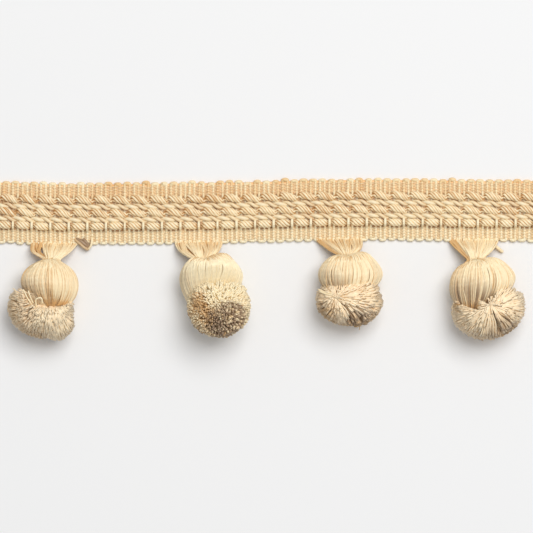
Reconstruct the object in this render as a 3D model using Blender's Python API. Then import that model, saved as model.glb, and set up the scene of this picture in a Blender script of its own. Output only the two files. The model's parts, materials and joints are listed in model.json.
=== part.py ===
"""A cut length of pompom fringe trim: a ribbed braid heading with picot edges, five yarns laid along its
face, and four ball pompoms with flared cut skirts, each hung from a fan of yarns at the lower edge.

It lies face up on a flat surface. Metres; +X along the heading, +Y from the pompoms to the plain edge,
+Z up from the surface. The origin is the middle of the heading's flat back.
"""

import math
import random

import bmesh
import bpy
import numpy as np
from mathutils import Vector

MM = 0.001
SHARP_ANGLE = math.radians(50)
MERGE_DISTANCE = 0.01 * MM

# Heading: a woven braid. Two ribs of weft turn in one picot, and two picots make one repeat of the cords.
PICOT_PITCH = 2.94 * MM
PICOT_COUNT = 60
CUT_LENGTH = PICOT_PITCH * PICOT_COUNT
HEADING_WIDTH = 19.8 * MM
NOTCH_DEPTH = 0.85 * MM
CORD_BED_WIDTH = 11.0 * MM
BED_HEIGHT = 1.1 * MM
RIB_HEIGHT = 1.6 * MM
EDGE_DROP = 0.35 * MM
COLUMNS_PER_PICOT = 4

# How far the heading's middle strays from a straight line, at distances along it.
SWAY = (
    # along, aside
    (-90 * MM, 0.00 * MM),
    (-66 * MM, -0.74 * MM),
    (-46 * MM, -0.70 * MM),
    (-27 * MM, -0.46 * MM),
    (-8 * MM, -0.10 * MM),
    (11 * MM, 0.42 * MM),
    (30 * MM, 0.72 * MM),
    (49 * MM, 0.58 * MM),
    (68 * MM, 0.28 * MM),
    (90 * MM, 0.33 * MM),
)

# Yarns laid along the heading's face. Each is tied down once a repeat and bulges between the ties.
GAP = 0.3 * MM
CORD_REPEAT = 2 * PICOT_PITCH
STEPS_PER_REPEAT = 3
LAID_YARNS = (
    # name, aside, half width, height, waist share, sides, lean of the bulges, start of the repeat
    ("cord_upper", 4.25 * MM, 1.10 * MM, 2.1 * MM, 0.62, 5, 0.5, 0.30),
    ("strand_upper", 2.15 * MM, 0.62 * MM, 1.3 * MM, 0.70, 4, 0.5, 0.75),
    ("cord_middle", 0.10 * MM, 1.10 * MM, 2.1 * MM, 0.62, 5, 0.5, 0.45),
    ("strand_lower", -1.95 * MM, 0.62 * MM, 1.3 * MM, 0.70, 4, 0.5, 0.80),
    ("cord_lower", -4.00 * MM, 1.10 * MM, 2.1 * MM, 0.62, 5, 0.5, 0.55),
)

# Pompoms: each is a ball of yarn, full at its foot, with a brush of cut ends below the waist.
MERIDIANS = 36
GROOVE_SHARE = 0.955
BALL_STATIONS = (0.06, 0.15, 0.28, 0.45, 0.62, 0.78, 0.90, 0.97)
CROWN_FULLNESS = 0.42
FOOT_FULLNESS = 0.24
WAIST_RADIUS = 2.5 * MM

# The fan: strands from the neck to the heading's lower edge.
STRAND_COUNT = 9
STRAND_STEPS = 4
NECK_STRAND_SHARE = 0.84
NECK_HALF_HEIGHT = 1.3 * MM
EDGE_STRAND_SHARE = 0.78
EDGE_STRAND_HEIGHT = 0.95 * MM

# The brush: a small round core, and a lock of cut ends on each of its faces.
CORE_RADIUS = 3.0 * MM
CORE_RING_DEGREES = (115, 89, 60, 30)
LOCKS_ROUND = MERIDIANS // 2
LOCK_SPREAD = 0.70
LOCK_LENGTH_SCATTER = 0.08
LOCK_TRIM = 0.1 * MM
FLOOR_CLEARANCE = 0.05 * MM

POMPOMS = (
    {
        "name": "pompom_1",
        "fan_at_edge": (-74.2 * MM, -60.2 * MM),
        "fan_half_way": (-74.3 * MM, -63.6 * MM),
        "neck": (-68.5 * MM, -15.2 * MM, 5.2 * MM),
        "neck_width": 5.8 * MM,
        "ball_top": (-68.8 * MM, -14.9 * MM, 6.4 * MM),
        "ball_centre": (-68.5 * MM, -21.8 * MM, 8.0 * MM),
        "ball_radii": (8.8 * MM, 8.3 * MM),
        "waist": (-68.3 * MM, -27.8 * MM, 8.6 * MM),
        "brush_centre": (-70.3 * MM, -30.7 * MM, 8.8 * MM),
        "brush_heading": (-0.16, -1.0),
        "brush_tilt": 6,
        "brush_crown_share": 0.75,
        "brush_reach": (11.4 * MM, 8.8 * MM, 9.4 * MM),
    },
    {
        "name": "pompom_2",
        "fan_at_edge": (-28.6 * MM, -14.1 * MM),
        "fan_half_way": (-27.8 * MM, -14.3 * MM),
        "neck": (-20.0 * MM, -14.1 * MM, 5.2 * MM),
        "neck_width": 9.0 * MM,
        "ball_top": (-17.1 * MM, -13.5 * MM, 6.4 * MM),
        "ball_centre": (-17.4 * MM, -20.9 * MM, 8.0 * MM),
        "ball_radii": (9.7 * MM, 8.3 * MM),
        "waist": (-16.8 * MM, -26.0 * MM, 10.6 * MM),
        "brush_centre": (-14.9 * MM, -30.0 * MM, 11.2 * MM),
        "brush_heading": (0.10, -1.0),
        "brush_tilt": 45,
        "brush_crown_share": 1,
        "brush_reach": (10.3 * MM, 8.4 * MM, 10.9 * MM),
    },
    {
        "name": "pompom_3",
        "fan_at_edge": (16.0 * MM, 30.2 * MM),
        "fan_half_way": (19.4 * MM, 29.9 * MM),
        "neck": (25.0 * MM, -13.3 * MM, 5.2 * MM),
        "neck_width": 8.4 * MM,
        "ball_top": (26.3 * MM, -12.9 * MM, 6.4 * MM),
        "ball_centre": (26.4 * MM, -20.0 * MM, 8.1 * MM),
        "ball_radii": (9.9 * MM, 8.4 * MM),
        "waist": (24.4 * MM, -25.3 * MM, 9.4 * MM),
        "brush_centre": (26.3 * MM, -28.3 * MM, 9.4 * MM),
        "brush_heading": (-0.04, -1.0),
        "brush_tilt": 0,
        "brush_crown_share": 0.55,
        "brush_reach": (10.7 * MM, 8.6 * MM, 7.8 * MM),
    },
    {
        "name": "pompom_4",
        "fan_at_edge": (58.2 * MM, 72.8 * MM),
        "fan_half_way": (58.9 * MM, 71.0 * MM),
        "neck": (65.7 * MM, -14.9 * MM, 5.2 * MM),
        "neck_width": 8.2 * MM,
        "ball_top": (68.2 * MM, -14.6 * MM, 6.4 * MM),
        "ball_centre": (68.1 * MM, -22.2 * MM, 8.1 * MM),
        "ball_radii": (10.2 * MM, 8.4 * MM),
        "waist": (69.0 * MM, -27.3 * MM, 9.2 * MM),
        "brush_centre": (69.9 * MM, -30.6 * MM, 9.0 * MM),
        "brush_heading": (0.18, -1.0),
        "brush_tilt": -6,
        "brush_crown_share": 0.55,
        "brush_reach": (11.7 * MM, 9.2 * MM, 9.6 * MM),
    },
)

UP = Vector((0, 0, 1))


def clear_scene():
    for obj in list(bpy.data.objects):
        bpy.data.objects.remove(obj, do_unlink=True)


def yarn_material(name, colour, roughness):
    material = bpy.data.materials.new(name)
    material.use_nodes = True
    shader = material.node_tree.nodes["Principled BSDF"]
    shader.inputs["Base Color"].default_value = (*colour, 1)
    shader.inputs["Roughness"].default_value = roughness
    shader.inputs["Metallic"].default_value = 0
    return material


def add_object(name, bm, material):
    """Makes a node of a bmesh, with smooth faces parted at its sharp edges."""
    bmesh.ops.recalc_face_normals(bm, faces=bm.faces)
    mesh = bpy.data.meshes.new(name)
    bm.to_mesh(mesh)
    bm.free()
    mesh.materials.append(material)
    mesh.shade_smooth()
    mesh.set_sharp_from_angle(angle=SHARP_ANGLE)
    obj = bpy.data.objects.new(name, mesh)
    bpy.context.scene.collection.objects.link(obj)
    return obj


def skin(bm, first, second):
    """Joins two rings of as many vertices with one quad for each side, and gives the quads."""
    quads = []
    for i in range(len(first)):
        j = (i + 1) % len(first)
        quads.append(bm.faces.new((first[i], first[j], second[j], second[i])))
    return quads


def loft(bm, rings):
    """Skins a row of rings and closes both ends, and gives the rings' vertices."""
    rows = [[bm.verts.new(point) for point in ring] for ring in rings]
    for first, second in zip(rows, rows[1:]):
        skin(bm, first, second)
    bm.faces.new(rows[0])
    bm.faces.new(rows[-1])
    return rows


def sway(along):
    """The heading's stray from straight, in even slopes between the rows of SWAY."""
    alongs, asides = zip(*SWAY)
    return float(np.interp(along, alongs, asides))


def heading_section(column):
    """One cut across the heading, from the lower edge's foot over the face to the upper edge's foot."""
    x = -CUT_LENGTH / 2 + column * PICOT_PITCH / COLUMNS_PER_PICOT
    middle = sway(x)
    place = column % COLUMNS_PER_PICOT
    edge = HEADING_WIDTH / 2 - (NOTCH_DEPTH if place == 0 else 0)
    on_rib = place % 2 == 1
    face = RIB_HEIGHT if on_rib else BED_HEIGHT
    rim = face - EDGE_DROP if on_rib else face
    bed = CORD_BED_WIDTH / 2
    outline = (
        (-edge, 0),
        (-edge, rim),
        (-bed, face),
        (-bed, BED_HEIGHT),
        (bed, BED_HEIGHT),
        (bed, face),
        (edge, rim),
        (edge, 0),
    )
    return [(x, middle + y, z) for y, z in outline]


def build_heading(material):
    """The ribbed braid: its weft ribs stand up on both sides of a flat bed and turn in picots at the edges."""
    bm = bmesh.new()
    loft(bm, [heading_section(c) for c in range(COLUMNS_PER_PICOT * PICOT_COUNT + 1)])
    bmesh.ops.remove_doubles(bm, verts=bm.verts, dist=MERGE_DISTANCE)
    return add_object("heading", bm, material)


def laid_section(x, aside, half_width, height, bulge, sides, lean):
    """A ring round a laid yarn, leaning along it as the ply of an S twist does."""
    ring = []
    for side in range(sides):
        angle = 2 * math.pi * (side + 0.5) / sides + math.pi / 2
        y = half_width * bulge * math.cos(angle)
        z = height / 2 * (1 + bulge * math.sin(angle))
        ring.append((x - lean * y, sway(x) + aside + y, BED_HEIGHT + GAP + z))
    return ring


def build_laid_yarn(row, material):
    """A yarn on the heading's bed, narrow where a weft ties it down and full between two ties."""
    name, aside, half_width, height, waist, sides, lean, start = row
    steps = round(CUT_LENGTH / CORD_REPEAT) * STEPS_PER_REPEAT
    end_clear = lean * half_width
    rings = []
    for step in range(steps + 1):
        share = step / steps
        x = -CUT_LENGTH / 2 + end_clear + share * (CUT_LENGTH - 2 * end_clear)
        turn = 2 * math.pi * (x / CORD_REPEAT + start)
        bulge = waist + (1 - waist) * (0.5 - 0.5 * math.cos(turn))
        rings.append(laid_section(x, aside, half_width, height, bulge, sides, lean))
    bm = bmesh.new()
    loft(bm, rings)
    return add_object(name, bm, material)


def frame_round(axis):
    """Two directions square to an axis: one level, and one as upright as it can be."""
    level = axis.cross(UP).normalized()
    return level, level.cross(axis).normalized()


def on_curve(start, middle, end, share):
    """A point of the quadratic curve that passes through middle half way."""
    pull = 2 * middle - (start + end) / 2
    return start * (1 - share) ** 2 + pull * 2 * share * (1 - share) + end * share**2


def brush_axis(row):
    x, y = row["brush_heading"]
    tilt = math.radians(row["brush_tilt"])
    return Vector((x, y, 0)).normalized() * math.cos(tilt) + UP * math.sin(tilt)


def ball_axis(row, share):
    """The way the ball's spine points: from the heading at the neck, round to the brush's at the waist."""
    return Vector((0, -1, 0)).lerp(brush_axis(row), share).normalized()


def meridian_angle(index):
    return 2 * math.pi * (index + 0.5) / MERIDIANS


def ball_ring(row, share):
    """A ring of the ball. Every second meridian lies in the groove between two bundles of yarn."""
    middle = on_curve(*(Vector(row[key]) for key in ("ball_top", "ball_centre", "waist")), share)
    level, upright = frame_round(ball_axis(row, share))
    full = math.sin(math.pi * share) ** (CROWN_FULLNESS if share < 0.5 else FOOT_FULLNESS)
    ring = []
    for j in range(MERIDIANS):
        angle = meridian_angle(j)
        groove = GROOVE_SHARE if j % 2 else 1
        wide, tall = (radius * full * groove for radius in row["ball_radii"])
        point = middle + level * wide * math.cos(angle) + upright * tall * math.sin(angle)
        ring.append(Vector((point.x, point.y, max(point.z, 0))))
    return ring


def waist_ring(row):
    level, upright = frame_round(brush_axis(row))
    ring = []
    for j in range(MERIDIANS):
        aside = level * math.cos(meridian_angle(j)) + upright * math.sin(meridian_angle(j))
        ring.append(Vector(row["waist"]) + aside * WAIST_RADIUS)
    return ring


def neck_ring(row):
    """The flat neck, cut across into upright slices: a strand's root, then a gap, and so on."""
    neck = Vector(row["neck"])
    level, upright = frame_round(ball_axis(row, 0))
    pitch = row["neck_width"] / STRAND_COUNT
    widths = (pitch * NECK_STRAND_SHARE, pitch * (1 - NECK_STRAND_SHARE))
    across = [row["neck_width"] / 2]
    for side in range(2 * STRAND_COUNT - 1):
        across.append(across[-1] - widths[side % 2])
    top = [neck + level * x + upright * NECK_HALF_HEIGHT for x in across]
    bottom = [neck + level * x - upright * NECK_HALF_HEIGHT for x in reversed(across)]
    return top + bottom


def draw_out(bm, face, sections):
    """Draws a face out into a strand that passes through the given sections of as many corners."""
    for section in sections:
        face = bmesh.ops.extrude_discrete_faces(bm, faces=[face])["faces"][0]
        for vert, point in zip(face.verts, section):
            vert.co = point


def across_fan(limits, index):
    left, right = limits
    return left + (right - left) * (index + 0.5) / STRAND_COUNT


def strand_sections(row, root, index, heading_edge):
    """A yarn of the fan, from its root in the neck to just short of the heading's lower edge."""
    corners = [v.co.copy() for v in root.verts]
    start = sum(corners, Vector()) / len(corners)
    x = across_fan(row["fan_at_edge"], index)
    end = Vector((x, heading_edge(x) - GAP, EDGE_STRAND_HEIGHT / 2 + FLOOR_CLEARANCE))
    half_way = start.lerp(end, 0.5)
    half_way.x = across_fan(row["fan_half_way"], index)
    left, right = row["fan_at_edge"]
    half_width = (right - left) / STRAND_COUNT * EDGE_STRAND_SHARE / 2
    sections = []
    for step in range(1, STRAND_STEPS + 1):
        share = step / STRAND_STEPS
        middle = on_curve(start, half_way, end, share)
        section = []
        for corner in corners:
            offset = corner - start
            x_end = math.copysign(half_width, offset.x)
            z_end = math.copysign(EDGE_STRAND_HEIGHT / 2, offset.z)
            section.append(middle + offset.lerp(Vector((x_end, 0, z_end)), share))
        sections.append(section)
    return sections


def core_ring(row, degrees):
    """A ring of the brush's core, in line with the waist's grooves. Its upper side can lie forward."""
    axis = brush_axis(row)
    level, upright = frame_round(axis)
    ring = []
    for j in range(LOCKS_ROUND):
        angle = meridian_angle(2 * j + 1)
        forward = (1 - row["brush_crown_share"]) * max(0, math.sin(angle))
        polar = math.radians(degrees) * (1 - forward)
        aside = level * math.cos(angle) + upright * math.sin(angle)
        out = axis * math.cos(polar) + aside * math.sin(polar)
        ring.append(Vector(row["brush_centre"]) + out * CORE_RADIUS)
    return ring


def lock_sections(row, root, scatter):
    """A lock of cut yarns: it leaves the core squarely, widens to its tip and stops above the surface."""
    centre = Vector(row["brush_centre"])
    axis = brush_axis(row)
    level, upright = frame_round(axis)
    corners = [v.co.copy() for v in root.verts]
    foot = sum(corners, Vector()) / len(corners)
    out = (foot - centre).normalized()
    shares = [out.dot(way) / reach for way, reach in zip((level, upright, axis), row["brush_reach"])]
    length = scatter / math.hypot(*shares)
    while True:
        sections = []
        for share in (0.5, 1):
            middle = foot + out * (length - CORE_RADIUS) * share
            grow = 1 + share * (length / CORE_RADIUS * LOCK_SPREAD - 1)
            sections.append([middle + (corner - foot) * grow for corner in corners])
        if min(point.z for point in sections[-1]) >= FLOOR_CLEARANCE:
            return sections
        length -= LOCK_TRIM


def build_brush(bm, row, waist_verts):
    """The brush: a round core below the waist whose every face is drawn out into one lock."""
    rings = [[bm.verts.new(point) for point in core_ring(row, degrees)] for degrees in CORE_RING_DEGREES]
    for j in range(LOCKS_ROUND):
        a, b, c = (waist_verts[(2 * j + k) % MERIDIANS] for k in (1, 2, 3))
        bm.faces.new((a, b, c, rings[0][(j + 1) % LOCKS_ROUND], rings[0][j]))
    roots = []
    for first, second in zip(rings, rings[1:]):
        roots += skin(bm, first, second)
    pole = bm.verts.new(Vector(row["brush_centre"]) + brush_axis(row) * CORE_RADIUS)
    for j in range(0, LOCKS_ROUND, 2):
        corners = [rings[-1][(j + k) % LOCKS_ROUND] for k in range(3)]
        roots.append(bm.faces.new((*corners, pole)))
    chance = random.Random(row["name"])
    for root in roots:
        draw_out(bm, root, lock_sections(row, root, 1 + chance.uniform(-1, 1) * LOCK_LENGTH_SCATTER))


def build_pompom(row, material, heading_edge):
    """A pompom in one piece: the fan's strands, the neck, the grooved ball, the waist and the brush."""
    bm = bmesh.new()
    rings = [neck_ring(row)]
    rings += [ball_ring(row, share) for share in BALL_STATIONS]
    rings += [waist_ring(row)]
    verts = [[bm.verts.new(point) for point in ring] for ring in rings]
    for first, second in zip(verts, verts[1:]):
        skin(bm, first, second)
    neck = verts[0]
    slices = [
        bm.faces.new((neck[k], neck[k + 1], neck[-k - 2], neck[-k - 1]))
        for k in range(2 * STRAND_COUNT - 1)
    ]
    roots = sorted(slices[::2], key=lambda face: face.calc_center_median().x)
    for index, root in enumerate(roots):
        draw_out(bm, root, strand_sections(row, root, index, heading_edge))
    build_brush(bm, row, verts[-1])
    return add_object(row["name"], bm, material)


def lower_edge(along):
    return sway(along) - HEADING_WIDTH / 2


def main():
    clear_scene()
    weft = yarn_material("heading_yarn", (0.82, 0.62, 0.38), 0.8)
    cord = yarn_material("cord_yarn", (0.84, 0.70, 0.45), 0.7)
    pompom = yarn_material("pompom_yarn", (0.88, 0.74, 0.47), 0.75)
    build_heading(weft)
    for row in LAID_YARNS:
        build_laid_yarn(row, cord)
    for row in POMPOMS:
        build_pompom(row, pompom, lower_edge)


main()
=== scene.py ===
# %% [markdown]
# # Pompom fringe trim
#
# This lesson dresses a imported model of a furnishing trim: a ribbed braid, called the heading, with five
# yarns laid along its face and four pompoms hanging from its lower edge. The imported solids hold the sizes
# and the places. Here each of them is replaced by the yarns that a trimming maker would lay, as tubes
# carried along paths that numpy works out as whole arrays.

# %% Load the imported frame
import json
import math

import bpy
import numpy as np
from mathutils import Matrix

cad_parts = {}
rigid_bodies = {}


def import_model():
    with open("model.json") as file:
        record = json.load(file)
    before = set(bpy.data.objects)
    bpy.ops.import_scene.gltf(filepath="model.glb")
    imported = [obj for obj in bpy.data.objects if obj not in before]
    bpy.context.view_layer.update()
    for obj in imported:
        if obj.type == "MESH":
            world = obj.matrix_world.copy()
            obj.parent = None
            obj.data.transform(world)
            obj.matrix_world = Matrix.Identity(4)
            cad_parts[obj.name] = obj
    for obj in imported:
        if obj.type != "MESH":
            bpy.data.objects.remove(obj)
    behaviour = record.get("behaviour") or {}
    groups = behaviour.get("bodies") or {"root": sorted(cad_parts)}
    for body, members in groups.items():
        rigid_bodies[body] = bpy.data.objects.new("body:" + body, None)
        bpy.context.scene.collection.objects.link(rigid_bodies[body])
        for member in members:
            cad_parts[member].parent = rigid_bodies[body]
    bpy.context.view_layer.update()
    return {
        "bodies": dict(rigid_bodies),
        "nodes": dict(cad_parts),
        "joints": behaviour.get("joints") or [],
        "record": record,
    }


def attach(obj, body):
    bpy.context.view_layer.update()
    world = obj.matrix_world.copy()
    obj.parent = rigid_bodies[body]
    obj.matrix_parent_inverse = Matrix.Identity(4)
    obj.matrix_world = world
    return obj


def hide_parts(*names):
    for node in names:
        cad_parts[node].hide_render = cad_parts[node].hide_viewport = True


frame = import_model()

MM = 0.001
print("packed solids:", ", ".join(sorted(frame["nodes"])))

# %% [markdown]
# ## Measure the heading
#
# The heading isn't quite straight, and each yarn on it has to follow the same sway. The sway could be
# typed in again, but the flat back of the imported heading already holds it: the middle between its lowest
# and its highest point in each column. Two ribs of weft turn in one picot, which gives the rib pitch. The
# cords are tied down at every fourth rib, so what is laid along the heading repeats over four ribs.

# %% Length, width and sway
RIB_COUNT = 120
TIE_EVERY = 4
BACK_BELOW = 0.05 * MM


def node_points(name):
    """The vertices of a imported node, one row each."""
    mesh = frame["nodes"][name].data
    points = np.empty(len(mesh.vertices) * 3)
    mesh.vertices.foreach_get("co", points)
    return points.reshape(-1, 3)


def back_of_heading():
    """Along, middle and half width of the heading's flat back, a value for each column of its vertices.

    Vertices whose places along agree to a hundredth of a millimetre are one column.
    """
    back = node_points("heading")
    back = back[back[:, 2] < BACK_BELOW]
    along, column = np.unique(np.round(back[:, 0], 5), return_inverse=True)
    low = np.full(len(along), np.inf)
    high = np.full(len(along), -np.inf)
    np.minimum.at(low, column, back[:, 1])
    np.maximum.at(high, column, back[:, 1])
    return along, (low + high) / 2, (high - low) / 2


BACK_ALONG, BACK_MIDDLE, BACK_HALF = back_of_heading()
LENGTH = float(np.ptp(BACK_ALONG))
HALF_WIDTH = float(BACK_HALF.max())
RIB_PITCH = LENGTH / RIB_COUNT
REPEAT = TIE_EVERY * RIB_PITCH


def sway(x):
    """How far the heading's middle strays from straight, at places x along it."""
    return np.interp(x, BACK_ALONG, BACK_MIDDLE)


def aside_of(node):
    """How far a laid yarn's solid lies from the heading's middle."""
    points = node_points(node)
    return float((points[:, 1] - sway(points[:, 0])).mean())


print(f"heading {LENGTH / MM:.1f} by {2 * HALF_WIDTH / MM:.1f} mm, rib pitch {RIB_PITCH / MM:.2f} mm")

# %% [markdown]
# ## Yarns as tubes
#
# Everything in this trim is yarn, so one toolkit serves the whole object. Curves with a bevel would be
# the quick way, but thousands of them are slow and carry no attributes. Instead a whole set of yarns is
# one array of paths, yarn by sample by coordinate, and a ring of points is set round each sample.


# %% Array helpers
UP = np.array((0.0, 0.0, 1.0))


def unit(vectors):
    """Each vector divided by its own length."""
    return vectors / np.linalg.norm(vectors, axis=-1, keepdims=True)


def ease(share):
    """Rises smoothly from 0 to 1: 3 s squared minus 2 s cubed, with s held between 0 and 1."""
    share = np.clip(share, 0, 1)
    return share * share * (3 - 2 * share)


def stack(x, y, z):
    """Points from their three coordinates, each stretched to the shape of the largest."""
    return np.stack(np.broadcast_arrays(x, y, z), axis=-1).astype(float)


def wander(rng, rows, samples, knots, spread):
    """Smooth random strays, a row each: normal values at a few knots, joined by eased steps."""
    place = np.linspace(0, knots - 1, samples)
    weights = ease(1 - np.abs(place[None, :] - np.arange(knots)[:, None]))
    return rng.normal(0, spread, (rows, knots)) @ weights


def wander_all_ways(rng, rows, samples, knots, spread):
    """Smooth random strays along each of the three axes."""
    return np.stack([wander(rng, rows, samples, knots, spread) for _ in range(3)], axis=-1)


def bell(distance, width):
    """1 at no distance, falling away both sides as exp of minus (distance / width) squared."""
    return np.exp(-((distance / width) ** 2))


# %% Rings round paths
def frames_along(paths):
    """The side and up directions at each sample, carried along so that a tube never twists by itself.

    Each side direction is the last one with its part along the new tangent taken out.
    """
    tangents = unit(np.gradient(paths, axis=1))
    steep = np.abs(tangents[:, :1, 2:]) > 0.9
    seed = np.where(steep, (1.0, 0.0, 0.0), (0.0, 0.0, 1.0))
    sides = np.empty_like(paths)
    sides[:, 0] = unit(np.cross(tangents[:, 0], seed[:, 0]))
    for sample in range(1, paths.shape[1]):
        tangent = tangents[:, sample]
        last = sides[:, sample - 1]
        sides[:, sample] = unit(last - tangent * (last * tangent).sum(-1, keepdims=True))
    return sides, np.cross(tangents, sides)


def in_three(mark):
    """A mark with an axis each for yarns, samples and corners."""
    mark = np.asarray(mark, float)
    return mark.reshape(mark.shape + (1,) * (3 - mark.ndim))


def skin_rings(points, along, marks):
    """Faces between the rings of each yarn, and one face to close each end.

    points has a row for each yarn, sample and corner. The UV map runs round a ring from 0 to 1 and along
    the yarn in millimetres. Each mark has a value for every yarn, or also for its samples, or also for its
    corners, and becomes an attribute of the mesh.
    """
    yarns, samples, corners, _ = points.shape
    index = np.arange(yarns * samples * corners).reshape(yarns, samples, corners)
    ahead = np.roll(index, -1, axis=2)
    quads = np.stack((index[:, :-1], ahead[:, :-1], ahead[:, 1:], index[:, 1:]), axis=-1)
    turn = np.arange(corners + 1) / corners
    here, there = along[:, :-1, None], along[:, 1:, None]
    u = np.stack(np.broadcast_arrays(turn[:-1], turn[1:], turn[1:], turn[:-1]), axis=-1)
    v = np.stack(np.broadcast_arrays(here, here, there, there), axis=-1)
    u, v = np.broadcast_arrays(u, v)
    faces = [(quads.reshape(-1, 4), np.stack((u, v), axis=-1).reshape(-1, 2))]
    for cap, place in ((index[:, 0, ::-1], along[:, 0]), (index[:, -1], along[:, -1])):
        flat = np.stack(np.broadcast_arrays(0.5, place[:, None] + np.zeros(corners)), axis=-1)
        faces.append((cap, flat.reshape(-1, 2)))
    values = {}
    for name in ("tone", "dust_and_shade"):
        mark = in_three(marks.get(name, 0.0))
        values[name] = np.broadcast_to(mark, (yarns, samples, corners)).ravel()
    return {"points": points.reshape(-1, 3), "faces": faces, "marks": values}


def tube_yarns(paths, radii, corners, outward=UP, groove=0.0, tone=0.5, dust_and_shade=0.0):
    """Tubes of a set of yarns: path + radius * (cos a * side + sin a * up), for each corner's angle a.

    Painted shade in the groove between two yarns: a yarn's tone falls by groove * (1 - cosine of the angle
    from outward) / 2 round it.
    """
    side, up = frames_along(paths)
    angle = 2 * np.pi * np.arange(corners) / corners
    ring = np.cos(angle)[:, None] * side[:, :, None] + np.sin(angle)[:, None] * up[:, :, None]
    points = paths[:, :, None] + np.broadcast_to(radii, paths.shape[:2])[..., None, None] * ring
    steps = np.linalg.norm(np.diff(paths, axis=1), axis=-1) / MM
    along = np.concatenate((np.zeros((len(paths), 1)), np.cumsum(steps, axis=1)), axis=1)
    outward = np.broadcast_to(outward, paths.shape)[:, :, None]
    # Painted shade: each yarn's tone falls on its side that faces away from outward.
    tone = in_three(tone) - groove * (1 - (ring * outward).sum(-1)) / 2
    return skin_rings(points, along, {"tone": tone, "dust_and_shade": dust_and_shade})


# %% Put a set of yarns into a mesh
def add_piece(name, parts, material):
    """One object of several sets of yarns. It sits at the origin, with its place in its mesh."""
    points = np.concatenate([part["points"] for part in parts])
    first = np.cumsum([0] + [len(part["points"]) for part in parts])
    faces = [(face + start, uv) for part, start in zip(parts, first) for face, uv in part["faces"]]
    corners = np.concatenate([face.ravel() for face, _ in faces])
    totals = np.concatenate([np.full(len(face), face.shape[1]) for face, _ in faces])
    mesh = bpy.data.meshes.new(name)
    mesh.vertices.add(len(points))
    mesh.vertices.foreach_set("co", points.ravel())
    mesh.loops.add(len(corners))
    mesh.loops.foreach_set("vertex_index", corners.astype(np.int32))
    mesh.polygons.add(len(totals))
    mesh.polygons.foreach_set("loop_start", (np.cumsum(totals) - totals).astype(np.int32))
    mesh.update(calc_edges=True)
    layer = mesh.uv_layers.new(name="yarn")
    layer.data.foreach_set("uv", np.concatenate([uv for _, uv in faces]).ravel())
    for mark in ("tone", "dust_and_shade"):
        values = np.concatenate([part["marks"][mark] for part in parts])
        mesh.attributes.new(mark, "FLOAT", "POINT").data.foreach_set("value", values)
    mesh.polygons.foreach_set("use_smooth", np.full(len(totals), True))
    mesh.materials.append(material)
    piece = bpy.data.objects.new(name, mesh)
    bpy.context.scene.collection.objects.link(piece)
    print(f"{name}: {len(points)} points, {int((totals - 2).sum())} triangles")
    return piece


def settle(paths, clearance):
    """Lifts every sample that would sink into the surface the trim lies on."""
    paths[..., 2] = np.maximum(paths[..., 2], clearance)
    return paths


# %% [markdown]
# ## What yarn looks like
#
# The braid and cords are spun yarns: their plies run round them as slanting ridges, with finer fibres in
# the ridges. Dye takes unevenly, so neighbouring yarns differ a little in tone, and broad patches differ
# more. A picture would have to be stretched over every yarn, so these are worked out by shader nodes. Two
# node groups are shared by all the finishes: one gives the relief of the plies, one the mix of the dye. The
# tone and greyer marks that feed the mix also carry painted shade in grooves, creases and hollows, and
# painted light in the lower ladder, at the brushes' roots and on one brush's upper side.


# %% Shader helpers
def add_node(tree, kind, **settings):
    """A new node of one kind, with its settings made."""
    node = tree.nodes.new(kind)
    for name, value in settings.items():
        setattr(node, name, value)
    return node


def feed(tree, socket, source):
    """Sets a socket to a number, or links it to another node's output."""
    if isinstance(source, bpy.types.NodeSocket):
        tree.links.new(source, socket)
    else:
        socket.default_value = source


def maths(tree, operation, *values, clamp=False):
    """The result of a maths node. Its values are numbers or other nodes' outputs."""
    node = add_node(tree, "ShaderNodeMath", operation=operation, use_clamp=clamp)
    for socket, value in zip(node.inputs, values):
        feed(tree, socket, value)
    return node.outputs[0]


def between(tree, factor, first, second):
    """A mix of two colours."""
    node = add_node(tree, "ShaderNodeMix", data_type="RGBA")
    for socket, value in ((node.inputs[0], factor), (node.inputs[6], first), (node.inputs[7], second)):
        feed(tree, socket, value)
    return node.outputs[2]


def new_group(name, inputs, outputs):
    """A shader node group with named sockets, and its input and output nodes."""
    group = bpy.data.node_groups.new(name, "ShaderNodeTree")
    for socket, kind in inputs:
        group.interface.new_socket(socket, in_out="INPUT", socket_type=kind)
    for socket, kind in outputs:
        group.interface.new_socket(socket, in_out="OUTPUT", socket_type=kind)
    return group, add_node(group, "NodeGroupInput"), add_node(group, "NodeGroupOutput")


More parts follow.
